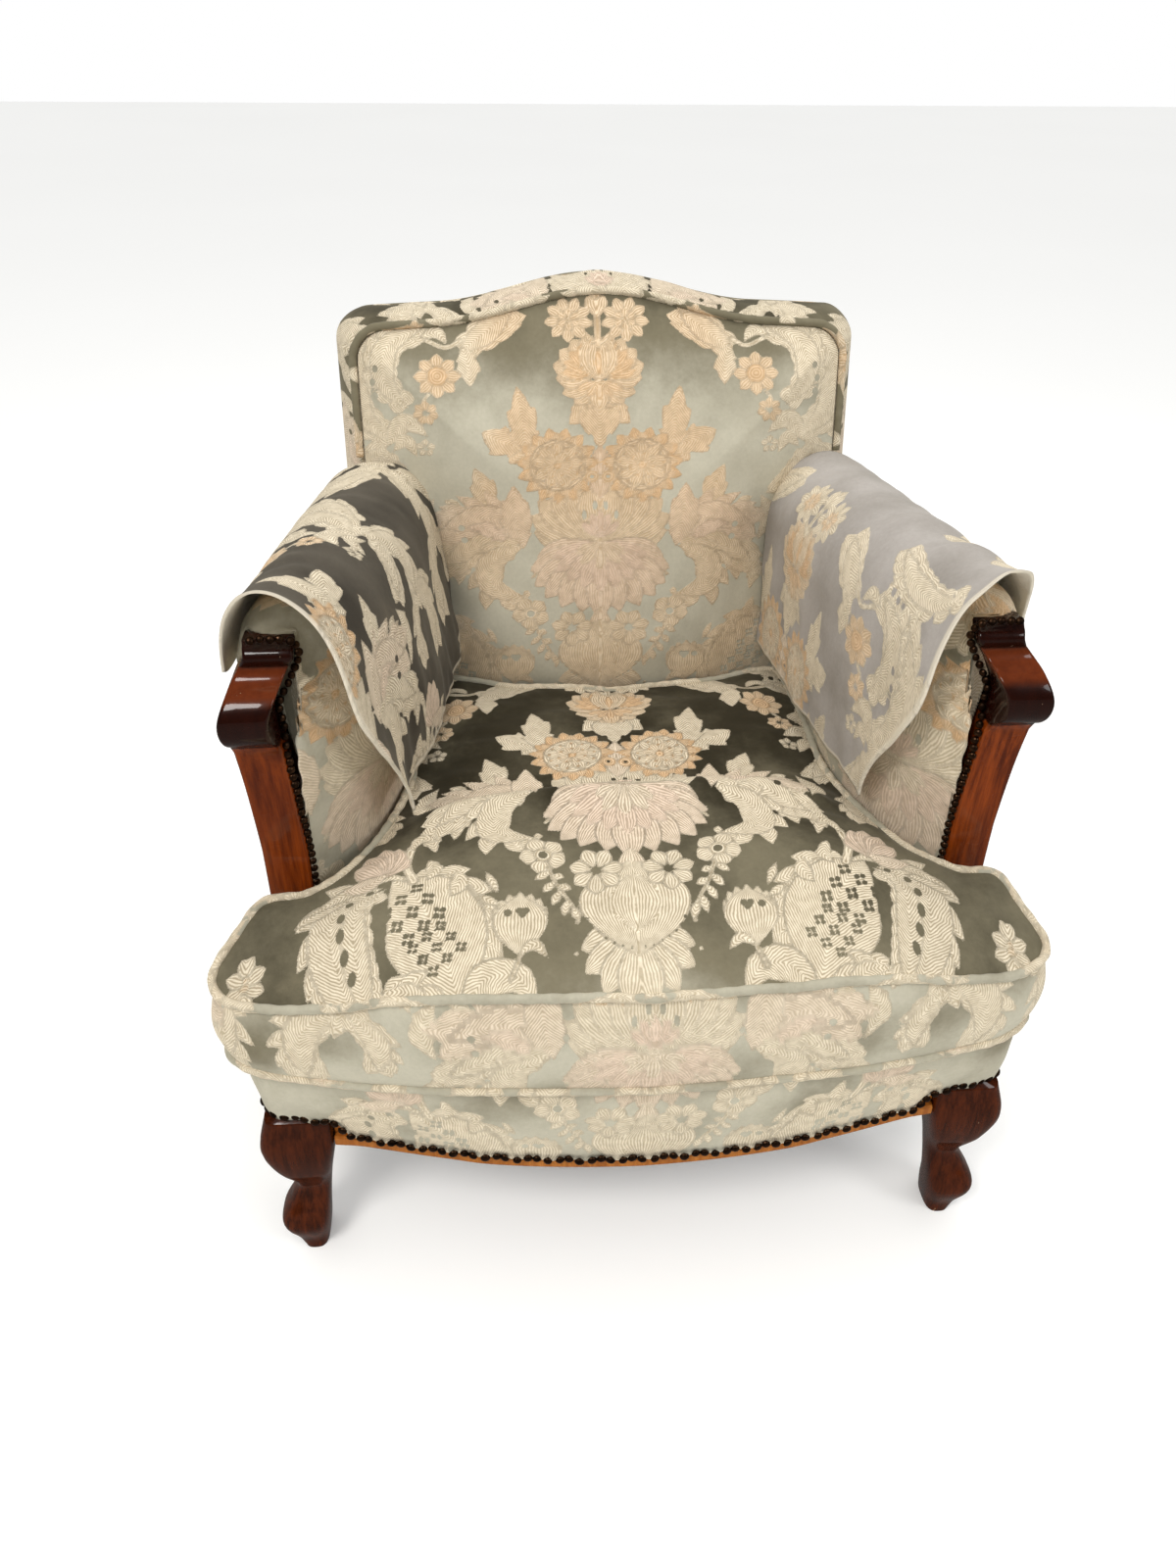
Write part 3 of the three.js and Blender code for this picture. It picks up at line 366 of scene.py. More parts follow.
def plain_cloth(name, colour, dull, scale=1400):
    s = Shader(name, Roughness=0.93, Specular_IOR_Level=0.2)
    across = s.noise(scale, 2, stretch=(1, 0.12, 1))
    along = s.noise(scale, 2, stretch=(0.12, 1, 1))
    weave = s.math("MAXIMUM", across, along)
    shaded = s.mix(s.ramp(s.noise(12, 5), 0.35, 0.75), colour, dull)
    shaded = s.mix(s.times(weave, 0.5), shaded, dull)
    return s.finish(shaded, height=weave, strength=0.6, depth=0.0006)


def polished_wood(name, light, dark, worn, roughness=0.24, knuckle=False):
    """Grain along Z and small pale scuffs. An arm post's two rolls are stained almost black."""
    s = Shader(name, Coat_Weight=0.45, Coat_Roughness=0.06, Specular_IOR_Level=0.08)
    grain = s.noise(26, 7, stretch=(6, 6, 0.35), roughness=0.65)
    fine = s.noise(160, 3, stretch=(5, 5, 0.12))
    colour = s.mix(s.ramp(grain, 0.32, 0.7), light, dark)
    colour = s.mix(s.times(s.ramp(fine, 0.5, 0.72), 0.45), colour, dark)
    cloud = s.ramp(s.noise(5, 3), 0.35, 0.7)
    colour = s.mix(s.times(cloud, 0.4), colour, dark)
    if knuckle:
        z = s.add("SeparateXYZ", {0: s.add("TexCoord").outputs["Object"]}).outputs[2]
        black = s.mix(grain, srgb(40, 12, 5), srgb(16, 5, 3))
        brown = s.mix(grain, srgb(112, 50, 20), srgb(70, 26, 9))
        for low_m, high_m, stain in ((0.569, 0.571, black), (0.615, 0.625, brown), (0.634, 0.637, black)):
            colour = s.mix(s.ramp(z, low_m, high_m), colour, stain)
    edge = s.ramp(s.add("NewGeometry").outputs["Pointiness"], 0.57, 0.66)
    colour = s.mix(s.times(edge, 0.4), colour, worn)
    spots = s.ramp(s.noise(240, 2, stretch=(1, 1, 0.25), roughness=0.8), 0.735, 0.76)
    here = s.ramp(s.noise(16, 2), 0.5, 0.62)
    scuff = s.times(spots, here)
    colour = s.mix(s.times(scuff, 0.75), colour, srgb(226, 196, 160))
    rough = s.affine(s.noise(30, 4), 0.18, roughness - 0.06)
    rough = s.affine(scuff, 0.3, rough)
    relief = s.affine(scuff, -1.0, fine)
    return s.finish(colour, rough, height=relief, strength=0.12, depth=0.0005)


def raw_wood(name):
    s = Shader(name, Roughness=0.78)
    grain = s.noise(20, 6, stretch=(0.5, 4, 4), roughness=0.6)
    colour = s.mix(s.ramp(grain, 0.3, 0.72), srgb(190, 152, 104), srgb(140, 100, 62))
    return s.finish(colour, height=grain, strength=0.3, depth=0.0006)


def metal(name, colour, dull, roughness, shine=1.0):
    s = Shader(name, Metallic=shine)
    patches = s.ramp(s.noise(120, 4), 0.35, 0.7)
    return s.finish(s.mix(patches, colour, dull), s.affine(patches, 0.25, roughness),
                    height=s.noise(500, 3), strength=0.2, depth=0.0003)


FLORAL = brocade("floral_velvet")
DARK_CAP = brocade("dark_cap_velvet", srgb(52, 47, 40), srgb(84, 78, 68), srgb(140, 136, 124))
PALE_CAP = brocade("pale_cap_velvet", srgb(140, 134, 126), srgb(172, 166, 160), srgb(190, 186, 180))
SHOW_WOOD = polished_wood("amber_wood", srgb(132, 57, 10), srgb(72, 24, 3), srgb(176, 100, 44), knuckle=True)
APRON_WOOD = polished_wood("apron_wood", srgb(184, 116, 48), srgb(140, 78, 26), srgb(200, 140, 70))
LEG_WOOD = polished_wood("leg_wood", srgb(82, 34, 9), srgb(42, 14, 3), srgb(116, 58, 26), roughness=0.2)
FRAME_WOOD = raw_wood("frame_wood")
JUTE = plain_cloth("jute_cloth", srgb(160, 132, 92), srgb(120, 96, 62), 700)
CAMBRIC = plain_cloth("cambric_cloth", srgb(34, 33, 32), srgb(22, 21, 21))
BRONZE = metal("nail_bronze", srgb(70, 50, 36), srgb(32, 22, 16), 0.28)
STEEL = metal("spring_steel", srgb(124, 118, 110), srgb(84, 66, 50), 0.4)

# The brocade's drawing, in millimetres across (u, from the pattern's middle) and along (v) the cloth


class Drawing:
    """Fields of the pattern at points of the cloth. Each petal laid covers what lies under it."""

    HALF_WIDTH = 345
    LOW_V, REPEAT = -500, 610

    def __init__(self, u, v):
        u, v = np.ravel(u), np.ravel(v)
        self.u = np.abs((u + self.HALF_WIDTH) % (2 * self.HALF_WIDTH) - self.HALF_WIDTH)
        self.v = (v - self.LOW_V) % self.REPEAT + self.LOW_V
        self.motif, self.line = np.full(u.size, -30.0), np.full(u.size, 30.0)
        self.rib = self.u * 0.7 - self.v
        self.gold, self.pink = np.zeros(u.size), np.zeros(u.size)

    def near(self, spots, reach):
        """The cloth's points within reach of a box round some spots."""
        low, high = np.min(spots, 0) - reach, np.max(spots, 0) + reach
        inside = (self.u > low[0]) & (self.u < high[0]) & (self.v > low[1]) & (self.v < high[1])
        return np.nonzero(inside)[0]

    def from_line(self, line, reach):
        """The cloth's points near a line, their distances from it, the nearest of its steps, how far along
        that step they lie, and their places from its start."""
        at = self.near(line, reach)
        step = np.diff(line, axis=0)
        away = np.stack([self.u[at], self.v[at]], 1)[:, None] - line[:-1]
        t = np.clip((away * step).sum(-1) / (step ** 2).sum(-1), 0, 1)
        gap = np.linalg.norm(away - t[..., None] * step, axis=-1)
        rows, k = np.arange(len(at)), gap.argmin(1)
        return at, gap[rows, k], k, t[rows, k], away[rows, k]

    def from_spot(self, middle, reach, squash=1.0):
        """The cloth's points near a spot, and their distances from it."""
        at = self.near([middle], reach * max(1, squash) + 3)
        return at, np.hypot(self.u[at] - middle[0], (self.v[at] - middle[1]) / squash)

    def lay(self, at, depth, rib, gold=0.0, pink=0.0, soft=0.0):
        """Lays a form on the cloth, from how deep inside its outline each point lies."""
        inside = depth > 0
        here = at[inside]
        self.motif[at] = np.maximum(self.motif[at], depth)
        self.line[at] = np.where(inside, depth + soft, np.minimum(self.line[at], soft - depth))
        self.rib[here] = rib[inside]
        self.gold[here] = gold
        self.pink[here] = pink

    def leaf(self, spine, width, gold=0.0, pink=0.0, belly=0.5, teeth=0, bite=0.3, veins=True, soft=0.0):
        """A leaf or petal along a curve from root to tip. Veined leaves are pointed and ribbed like feathers.
        Petals are rounder and ribbed lengthwise. The widest place is a share, belly, of the way to the tip.
        soft makes the outline faint where it lies on another."""
        line = spaced(spine, 2) if len(spine) == 2 else spline(spine, 14, 80)
        at, distance, k, t, away = self.from_line(line, 0.5 * width + 3)
        step = np.diff(line, axis=0)
        share = (k + t) / len(step)
        swell = np.sin(PI * np.clip(share, 1e-4, 1 - 1e-4) ** (np.log(0.5) / np.log(belly)))
        swell = swell ** (1.05 if veins else 0.8)
        half = 0.5 * width * swell
        if teeth:
            half = half * (1 - bite + bite * ((share * teeth) % 1) ** 1.5)
        if veins:
            rib = distance + 0.8 * share * run_of(line)[-1]
        else:
            side = np.sign(step[k, 0] * away[:, 1] - step[k, 1] * away[:, 0])
            rib = side * distance / np.maximum(swell, 0.35)
        self.lay(at, 0.85 * (half - distance), rib, gold, pink, soft)

    def frond(self, spine, width, lobes, sides=(1, -1), lean=0.75, core=0.66, **look):
        """A cut leaf: a broad body with pointed lobes on one side of it or both, leaning towards its tip."""
        line = spline(spine, 80, 320)
        along = unit(np.gradient(line, axis=0))
        lobe_width = 1.15 * run_of(line)[-1] / lobes
        for k in range(lobes):
            share = (k + 0.35) / lobes
            root, ahead = line[int(share * 79)], along[int(share * 79)]
            reach = 0.5 * width * np.sin(PI * (0.12 + 0.8 * share)) ** 0.6 / np.sin(lean)
            for side in sides:
                way = turned(ahead, side * lean)
                lobe = [root, root + 0.6 * reach * way, root + reach * (way + 0.22 * ahead)]
                self.leaf(lobe, lobe_width, belly=0.42, soft=0.5, **look)
        self.leaf(spine, core * width, belly=0.5, soft=0.5, **look)

    def stem(self, spine, width=4.5):
        """A line of even width."""
        at, distance = self.from_line(spline(spine, 18, 90), width)[:2]
        self.lay(at, 0.5 * width - distance, distance)

    def disc(self, middle, radius, gold=0.0):
        at, distance = self.from_spot(middle, radius)
        self.lay(at, radius - distance, distance, gold)

    def hole(self, middle, radius, squash=1.0):
        """A spot of bare ground in a motif."""
        at, distance = self.from_spot(middle, radius, squash)
        self.motif[at] = np.minimum(self.motif[at], distance - radius)

    def blossom(self, middle, radius, petals, turn=0.0, width=1.0, **look):
        """Petals round a middle."""
        petal_width = 0.62 * width * 2 * PI * radius / petals
        for k in range(petals):
            tip = turned((0, radius), -turn - 2 * PI * k / petals)
            self.leaf([middle + 0.12 * tip, middle + tip], petal_width, belly=0.62, veins=False, **look)

    def rose(self, middle, radius, gold=1.0):
        """A round flower: a scalloped golden rim, a pale disc of small petals and a ringed eye."""
        self.disc(middle, 0.78 * radius, gold=0.8 * gold)
        self.blossom(middle, radius, 15, turn=0.2, width=1.35, gold=gold)
        self.blossom(middle, 0.86 * radius, 13, width=1.3, gold=0.75 * gold, soft=0.5)
        self.disc(middle, 0.66 * radius, gold=0.08)
        self.blossom(middle, 0.64 * radius, 9, width=1.2, gold=0.1, soft=0.5)
        self.blossom(middle, 0.4 * radius, 8, turn=0.3, width=1.2, gold=0.25 * gold, soft=0.5)
        for ring, count in ((0.52, 13), (0.3, 7)):
            for k in range(count):
                self.disc(middle + turned((0, ring * radius), -2 * PI * k / count), 1.5, gold=gold)
        self.disc(middle, 0.1 * radius, gold=0.9 * gold)

    def fan_of(self, root, tips, width, **look):
        """Petals from one root to several tips."""
        for tip in tips:
            self.leaf([root, tip], width, **{"belly": 0.62, "veins": False, **look})

    def lattice(self, middle, cell, rows, turn):
        """A window of small diamond openings in a leaf."""
        steps = (np.arange(rows) - (rows - 1) / 2) * cell
        for a in steps:
            for b in steps:
                for quarter in range(4):
                    corner = turned((0.25 * cell, 0), quarter * PI / 2 + turn)
                    self.hole(middle + turned((a, b), turn) + corner, 0.15 * cell)

    # Groups of motifs, from the pattern's top down

    def crown_flowers(self):
        self.stem([(0, 8), (1, 34), (0, 52)], 6)
        self.fan_of((0, 38), [(0, 72), (9, 66)], 14)
        self.stem([(5, 12), (14, 22), (24, 30)], 4.5)
        self.blossom((31, 38), 27, 9, turn=0.3, width=1.1)
        self.disc((31, 38), 11, gold=0.3)
        self.blossom((31, 38), 13, 6, gold=0.6)

    def palm_flower(self):
        root = (0, -34)
        self.fan_of(root, [(12, -66), (27, -60), (40, -48)], 22, gold=0.35)
        self.leaf([root, (0, -68)], 22, gold=0.5, belly=0.6, veins=False)
        self.fan_of((4, -28), [(47, -30), (50, -14), (42, 3), (28, 15), (12, 21)], 27, gold=0.42)
        self.fan_of((6, -28), [(40, -22), (38, -9), (31, 2), (20, 10)], 14, gold=0.95, soft=0.4)
        self.leaf([(0, -34), (12, -8), (9, 18)], 18, gold=0.3, veins=False, soft=0.4)
        self.leaf([(0, -32), (0, 18)], 24, gold=0.35, veins=False, soft=0.4)
        self.leaf([(0, -28), (0, 4)], 9, gold=0.9, veins=False, soft=0.4)
        self.fan_of((0, -32), [(14, -52), (26, -45), (0, -56)], 10, gold=0.8, soft=0.4)

    def neck_leaf(self):
        self.leaf([(0, -58), (16, -68), (34, -84)], 30, teeth=3, bite=0.2)
        self.leaf([(0, -56), (0, -114)], 46, belly=0.34)
        self.hole((10, -103), 3.0, 2.4)

    def trefoil(self):
        self.leaf([(83, -114), (92, -122), (101, -130)], 20)
        self.leaf([(80, -112), (104, -106), (130, -92)], 42, teeth=3, bite=0.3, belly=0.55)
        self.leaf([(82, -120), (84, -82), (90, -38)], 40, teeth=3, bite=0.32, belly=0.45)

    def single_leaf(self):
        self.leaf([(131, -196), (129, -166), (140, -134)], 36, teeth=3, bite=0.28, belly=0.45)
        self.leaf([(158, -196), (165, -184), (176, -178)], 14)

    def twin_roses(self):
        self.leaf([(0, -110), (0, -176)], 30, veins=False, pink=0.3)
        self.rose((47, -134), 47)
        self.disc((9, -148), 8, gold=0.8)
        self.hole((9, -148), 2.4)

    def vase_body(self):
        self.leaf([(134, -232), (156, -254), (164, -292)], 34, teeth=4, bite=0.35)
        self.frond([(92, -240), (136, -236), (182, -268)], 44, 6)
        self.frond([(84, -226), (124, -200), (180, -216)], 54, 7, pink=0.3)
        self.leaf([(86, -240), (94, -200), (97, -156)], 42, teeth=4, bite=0.24, pink=0.25)
        self.leaf([(104, -230), (128, -214), (150, -212)], 22, teeth=3, pink=0.5, soft=0.4)
        self.hole((157, -214), 4)
        self.hole((154, -230), 4)
        for tip in ((75, -216), (78, -196), (70, -176), (54, -163), (32, -160), (11, -158)):
            self.leaf([(0, -240), tip], 36, belly=0.62, veins=False, soft=0.5)
        self.fan_of((0, -226), [(20, -206), (11, -194), (0, -190)], 11, pink=0.7)
        self.hole((6, -184), 2.6, 2.4)
        self.hole((18, -196), 2.6, 2.4)

    def hanging_leaf(self):
        self.frond([(88, -236), (122, -256), (124, -290), (86, -304)], 44, 7, sides=(1,), core=0.75)
        self.stem([(52, -258), (66, -262), (78, -276)], 3.8)
        self.leaf([(66, -264), (80, -262)], 8)
        self.leaf([(72, -270), (66, -290)], 9)

    def lotus(self):
        root = (0, -230)
        tips = [(72, -250), (80, -268), (76, -288), (64, -304), (46, -317), (23, -324)]
        self.fan_of(root, tips, 32, pink=0.4)
        self.leaf([root, (0, -334)], 32, belly=0.62, pink=0.4, veins=False)
        inner = [(54, -250), (52, -268), (38, -282), (20, -292), (0, -298)]
        self.fan_of(root, inner, 20, pink=0.65, soft=0.5)
        self.fan_of(root, [(28, -246), (22, -260), (0, -268)], 14, pink=0.2, soft=0.5)

    def vase(self):
        self.leaf([(0, -318), (0, -366)], 26, veins=False, pink=0.2)
        self.fan_of((0, -408), [(50, -424), (47, -446), (32, -464), (11, -474)], 25)
        self.leaf([(0, -336), (0, -432)], 100, belly=0.46, veins=False)
        self.leaf([(0, -352), (0, -412)], 46, belly=0.5, veins=False, soft=0.5)
        for turn in np.linspace(0.12, 1.15, 7):
            self.hole((47 * np.sin(turn), -376 - 50 * np.cos(turn)), 1.5)
        self.blossom((33, -346), 25, 7, turn=0.4, width=1.15)
        self.hole((33, -346), 4.5)
        self.disc((52, -400), 2.4)
        self.disc((54, -428), 2.2)

    def spray(self):
        flower = (81, -325)
        self.blossom(flower, 22, 5, turn=0.5, width=1.15)
        self.disc(flower, 7.9)
        self.hole(flower, 4.4)
        self.stem([(76, -340), (70, -358), (54, -386)], 3.6)
        for leaf in ([(75, -344), (89, -354)], [(71, -356), (82, -368)], [(66, -366), (74, -382)],
                     [(60, -376), (64, -394)], [(56, -382), (50, -400)], [(73, -348), (62, -352)],
                     [(68, -360), (56, -366)], [(84, -304), (86, -292)]):
            self.leaf(leaf, 8.5)

    def tulip(self):
        self.stem([(102, -418), (104, -432), (110, -446)], 4)
        tips = [(79, -382), (84, -373), (92, -368), (102, -366), (112, -368), (120, -373), (125, -382)]
        self.fan_of((102, -420), tips, 17)
        self.leaf([(102, -428), (102, -370)], 48, belly=0.55, veins=False, soft=0.5)
        self.hole((113, -387), 3.8)
        for spot in ((97, -385), (103, -385), (100, -389)):
            self.hole(spot, 3.3)
        self.leaf([(121, -368), (133, -344)], 8)
        self.leaf([(120, -379), (138, -367)], 8)
        self.leaf([(104, -426), (90, -418), (78, -430)], 10)

    def acanthus(self):
        outer = [(226, -344), (262, -350), (270, -384), (258, -424), (236, -476)]
        self.frond(outer, 54, 9, sides=(1,), core=0.8)
        self.leaf([(256, -348), (280, -352), (304, -370)], 16)
        inner = [(222, -346), (246, -360), (248, -396), (238, -436), (226, -472)]
        self.frond(inner, 32, 9, sides=(-1,), core=0.75)
        for spot, squash in (((238, -346), 0.7), ((256, -354), 1.0), ((262, -369), 1.5), ((261, -387), 1.7),
                             ((256, -405), 1.9), ((248, -424), 1.9)):
            self.hole(spot, 3.8, squash)
        self.frond([(202, -342), (170, -352), (148, -384), (136, -446)], 44, 8, sides=(-1,), lean=0.65)
        self.leaf([(218, -336), (182, -384), (150, -474)], 88, belly=0.48)
        self.leaf([(186, -346), (180, -334), (186, -316)], 18, teeth=2)
        self.leaf([(164, -366), (156, -352), (160, -340)], 16)
        self.lattice((197, -378), 17, 3, 0.9)
        self.lattice((174, -414), 15, 3, 0.9)
        self.frond([(222, -444), (194, -452), (170, -496)], 36, 6, sides=(1, -1), core=0.5)
        self.leaf([(154, -478), (132, -446), (104, -446), (88, -474)], 30)
        self.leaf([(300, -360), (262, -338), (222, -332), (196, -346)], 13)
        self.stem([(198, -344), (206, -320), (204, -294)], 8.5)
        self.leaf([(205, -298), (196, -282), (180, -288)], 12)
        tips = [(208, -304), (216, -290), (231, -284), (246, -290), (256, -306)]
        self.fan_of((224, -332), tips, 23, pink=0.6)
        self.leaf([(222, -326), (240, -334), (266, -332)], 18, pink=0.3)

    def corner_flower(self):
        self.blossom((352, -408), 27, 9, turn=0.2, width=1.15)
        self.blossom((352, -408), 12, 7, gold=0.3)

    def side_branch(self):
        self.frond([(152, 0), (124, 22), (92, 48)], 40, 5)
        self.leaf([(148, 8), (142, -14), (140, -40)], 30, teeth=3, bite=0.28)
        self.stem([(150, 14), (166, 6), (186, 14)], 5)
        self.leaf([(164, 10), (176, 24), (194, 18)], 14)
        self.blossom((176, -27), 26, 8, width=1.15, gold=0.6)
        self.disc((176, -27), 11, gold=0.9)
        self.stem([(186, -48), (192, -56), (190, -62)], 4)
        self.blossom((190, -70), 15, 7, width=1.2, gold=0.6)
        self.blossom((192, -112), 11, 5)

    def side_scroll(self):
        self.frond([(262, -104), (304, -62), (312, 0)], 50, 8)
        self.frond([(226, -106), (264, -74), (272, -22), (238, 34)], 50, 9, sides=(1, -1), core=0.75)
        self.frond([(208, -66), (234, -34), (230, 8), (190, 30)], 40, 8, core=0.7)
        for spot in ((176, 34), (188, 37), (200, 38), (212, 36),
                     (244, -18), (248, -34), (246, -50), (239, -64)):
            self.hole(spot, 3.4, 1.3)
        self.frond([(290, 88), (262, 62), (214, 58), (170, 76)], 34, 8)
        self.leaf([(236, -112), (214, -82), (188, -98)], 24)
        self.leaf([(230, -118), (214, -104), (202, -124)], 16)
        self.frond([(236, -112), (270, -150), (264, -210)], 50, 8, core=0.7)
        self.frond([(240, -120), (226, -150), (206, -176)], 34, 6)
        self.frond([(268, -190), (306, -222), (308, -280)], 48, 7)
        self.frond([(262, -196), (238, -226), (240, -262)], 34, 6)
        self.leaf([(176, -250), (186, -276), (180, -306)], 24, teeth=4, bite=0.3)
        self.leaf([(186, -176), (200, -206), (188, -240)], 26, teeth=3, bite=0.3)

    def draw(self):
        for group in (self.side_scroll, self.acanthus, self.side_branch, self.corner_flower, self.single_leaf,
                      self.trefoil, self.vase_body, self.hanging_leaf, self.lotus, self.vase, self.spray,
                      self.tulip, self.neck_leaf, self.palm_flower, self.twin_roses, self.crown_flowers):
            group()
        return self


def dress(made, u, v, shade, fade=0.0, lining=0.0, gold=1.0, warm=0.0):
    """Draws the brocade on a piece, from its points' places on the cloth. shade is the ground's lightness,
    which also holds painted shade on the cushion's top and the arm pads and a painted sheen on the cushion's
    front, fade softens the contrast of the threads, lining covers them with plain cloth, and warm turns all
    of them towards gold."""
    count = len(made.data.vertices)
    drawing = Drawing(u, v).draw()
    give(made, motif=drawing.motif, line=drawing.line, rib=drawing.rib,
         gold=np.maximum(gold * drawing.gold, warm), pink=drawing.pink, shade=np.broadcast_to(shade, count),
         fade=np.broadcast_to(fade, count), lining=np.broadcast_to(lining, count))


# Sizes shared with the frame

HANDS = {"right": 1, "left": -1}
RAKE = np.radians(12.6)
BACK_Y, BACK_Z = 511, 440
BACK_DEPTH = 100
PANEL = 3
SIDE_HALF, BACK_HALF = 355, 300
LEG_INNER = 300
BOW = 35
SKIRT_Z, SKIRT_FOOT_Z = 588, 182
BORDER_TOP = 288
CUSHION_FOOT = BORDER_TOP + 0.3
ROLL_Z = 600
POST_INNER, POST_WIDTH, POST_BACK_Y, POST_TOP_Z = 305, 42, 154, 657
KNUCKLE_Y, KNUCKLE_Z, KNUCKLE_RADIUS = 112, 600, 29
TOP_ROLL_Y, TOP_ROLL_Z, TOP_ROLL_RADIUS = 131, 644, 9.5


def bow(x, out=0.0):
    return -BOW - out + BOW * (x / LEG_INNER) ** 2


apron_edge = profile((0, 155), (150, 159), (192, 164), (270, 170), (300, 167))
APRON_STRIP = 13
LEG_TOP, LEG_BLOCK_TOP = 204, 234


def back_y(z, depth=0.0):
    return BACK_Y + (z - BACK_Z) * np.tan(RAKE) + depth / np.cos(RAKE)


def side_line(share):
    return lerp(SIDE_HALF, BACK_HALF + PANEL, np.clip(share, 0, 1) ** 1.6)


# Loose cushion

CUSHION_EAR_X = 376
CUSHION_CORD = 4.4
CUSHION_MIDDLE_Y, CUSHION_REAR_Z = 150, 420
FRONT_CORNER, REAR_CORNER = [362, 0], [200, 480]
PATTERN_Y, PATTERN_SKEW = 414, 0.0225
CUSHION_FOOT_V = -294


def cushion_outline(count):
    """The T shape's right half, from the middle of its front to the middle of its rear."""
    return spline([[0, -55], [190, -43], [318, -20], FRONT_CORNER, [CUSHION_EAR_X, 24], [358, 62], [342, 84],
                   [304, 90], [270, 118], [238, 188], [220, 262], [220, 360], [214, 470], REAR_CORNER,
                   [107, 452], [0, 440]], count)


def settled(x, y):
    """The cushion has shifted: its left ear sticks out further than its right one."""
    return x - 10 * smooth(-x, 240, 360) * smooth(-y, -110, -30)


def cushion_line(count):
    half = cushion_outline(count)
    x, y = np.vstack([half[:-1], (half * [-1, 1])[::-1][:-1]]).T
    return np.stack([settled(x, y), y], 1)


def cushion_welt_z(x, y):
    front = lerp(410, 375, smooth(np.abs(x), 150, CUSHION_EAR_X))
    return lerp(front, CUSHION_REAR_Z, smooth(y, 0, 110)) + 1.6 * ripple(x, y, 90, 5)


def rear_lean(y, z):
    """How far the cushion's rear is pushed forward by the back's rake."""
    return (CUSHION_REAR_Z - z) * np.tan(RAKE) * smooth(y, 250, 440)


def cushion_patch(columns, rows):
    """Plan points of the cushion's top, in rows from front to rear."""
    line = cushion_outline(3000)
    corner, rear = (np.hypot(*(line - spot).T).argmin() for spot in (FRONT_CORNER, REAR_CORNER))
    s = np.linspace(-1, 1, columns)

    def across(half):
        x, y = spaced(half, 400).T
        at = np.linspace(0, 1, 400)
        return np.stack([np.sign(s) * np.interp(np.abs(s), at, x), np.interp(np.abs(s), at, y)], -1)

    front, back = across(line[:corner + 1]), across(line[rear:][::-1])
    side = spaced(line[corner:rear + 1], rows)
    t = np.linspace(0, 1, rows)[:, None]
    (fx, fy), (bx, by) = line[corner], line[rear]
    x = lerp(front[None, :, 0], back[None, :, 0], t) + s * (side[:, None, 0] - lerp(fx, bx, t))
    y = lerp(front[None, :, 1], back[None, :, 1], t) + side[:, None, 1] - lerp(fy, by, t)
    return settled(x, y), y


def distance_to_line(x, y, line):
    spots = np.stack([x.ravel(), y.ravel()], 1)
    gap = np.empty(len(spots))
    for k in range(0, len(spots), 4000):
        block = spots[k:k + 4000, None] - line[None]
        gap[k:k + 4000] = np.sqrt((block ** 2).sum(-1).min(1))
    return gap.reshape(x.shape)


def cushion_top_z(x, y, gap):
    """The worn top: plump in front, with a fold across behind it and a sunken rear half."""
    fold_y = 206 + 7 * np.sin(x / 95) - 10 * (x / 230) ** 2
    plump = 1 - (1 - np.clip(gap / 150, 0, 1)) ** 2.3
    sunk = 20 * smooth(y - fold_y, -4, 26)
    fold = 13 * np.exp(-((y - fold_y) / 8) ** 2) * smooth(230 - np.abs(x + 12), 0, 60)
    roll = 9 * np.exp(-((y - fold_y + 24) / 17) ** 2) * smooth(230 - np.abs(x), 0, 60)
    inside = np.clip(gap / 40, 0, 1)
    folds = 1.6 * ripple(x, y, 150, 11) + 0.9 * ripple(x * 0.6, y * 1.4, 52, 12)
    pull = 2.4 * np.exp(-gap / 22) * np.sin((x + 0.7 * y) / 7.5) * smooth(gap, 2, 12)
    return cushion_welt_z(x, y) + plump * (34 - sunk) + inside * (folds + roll - fold) + 0.5 * pull


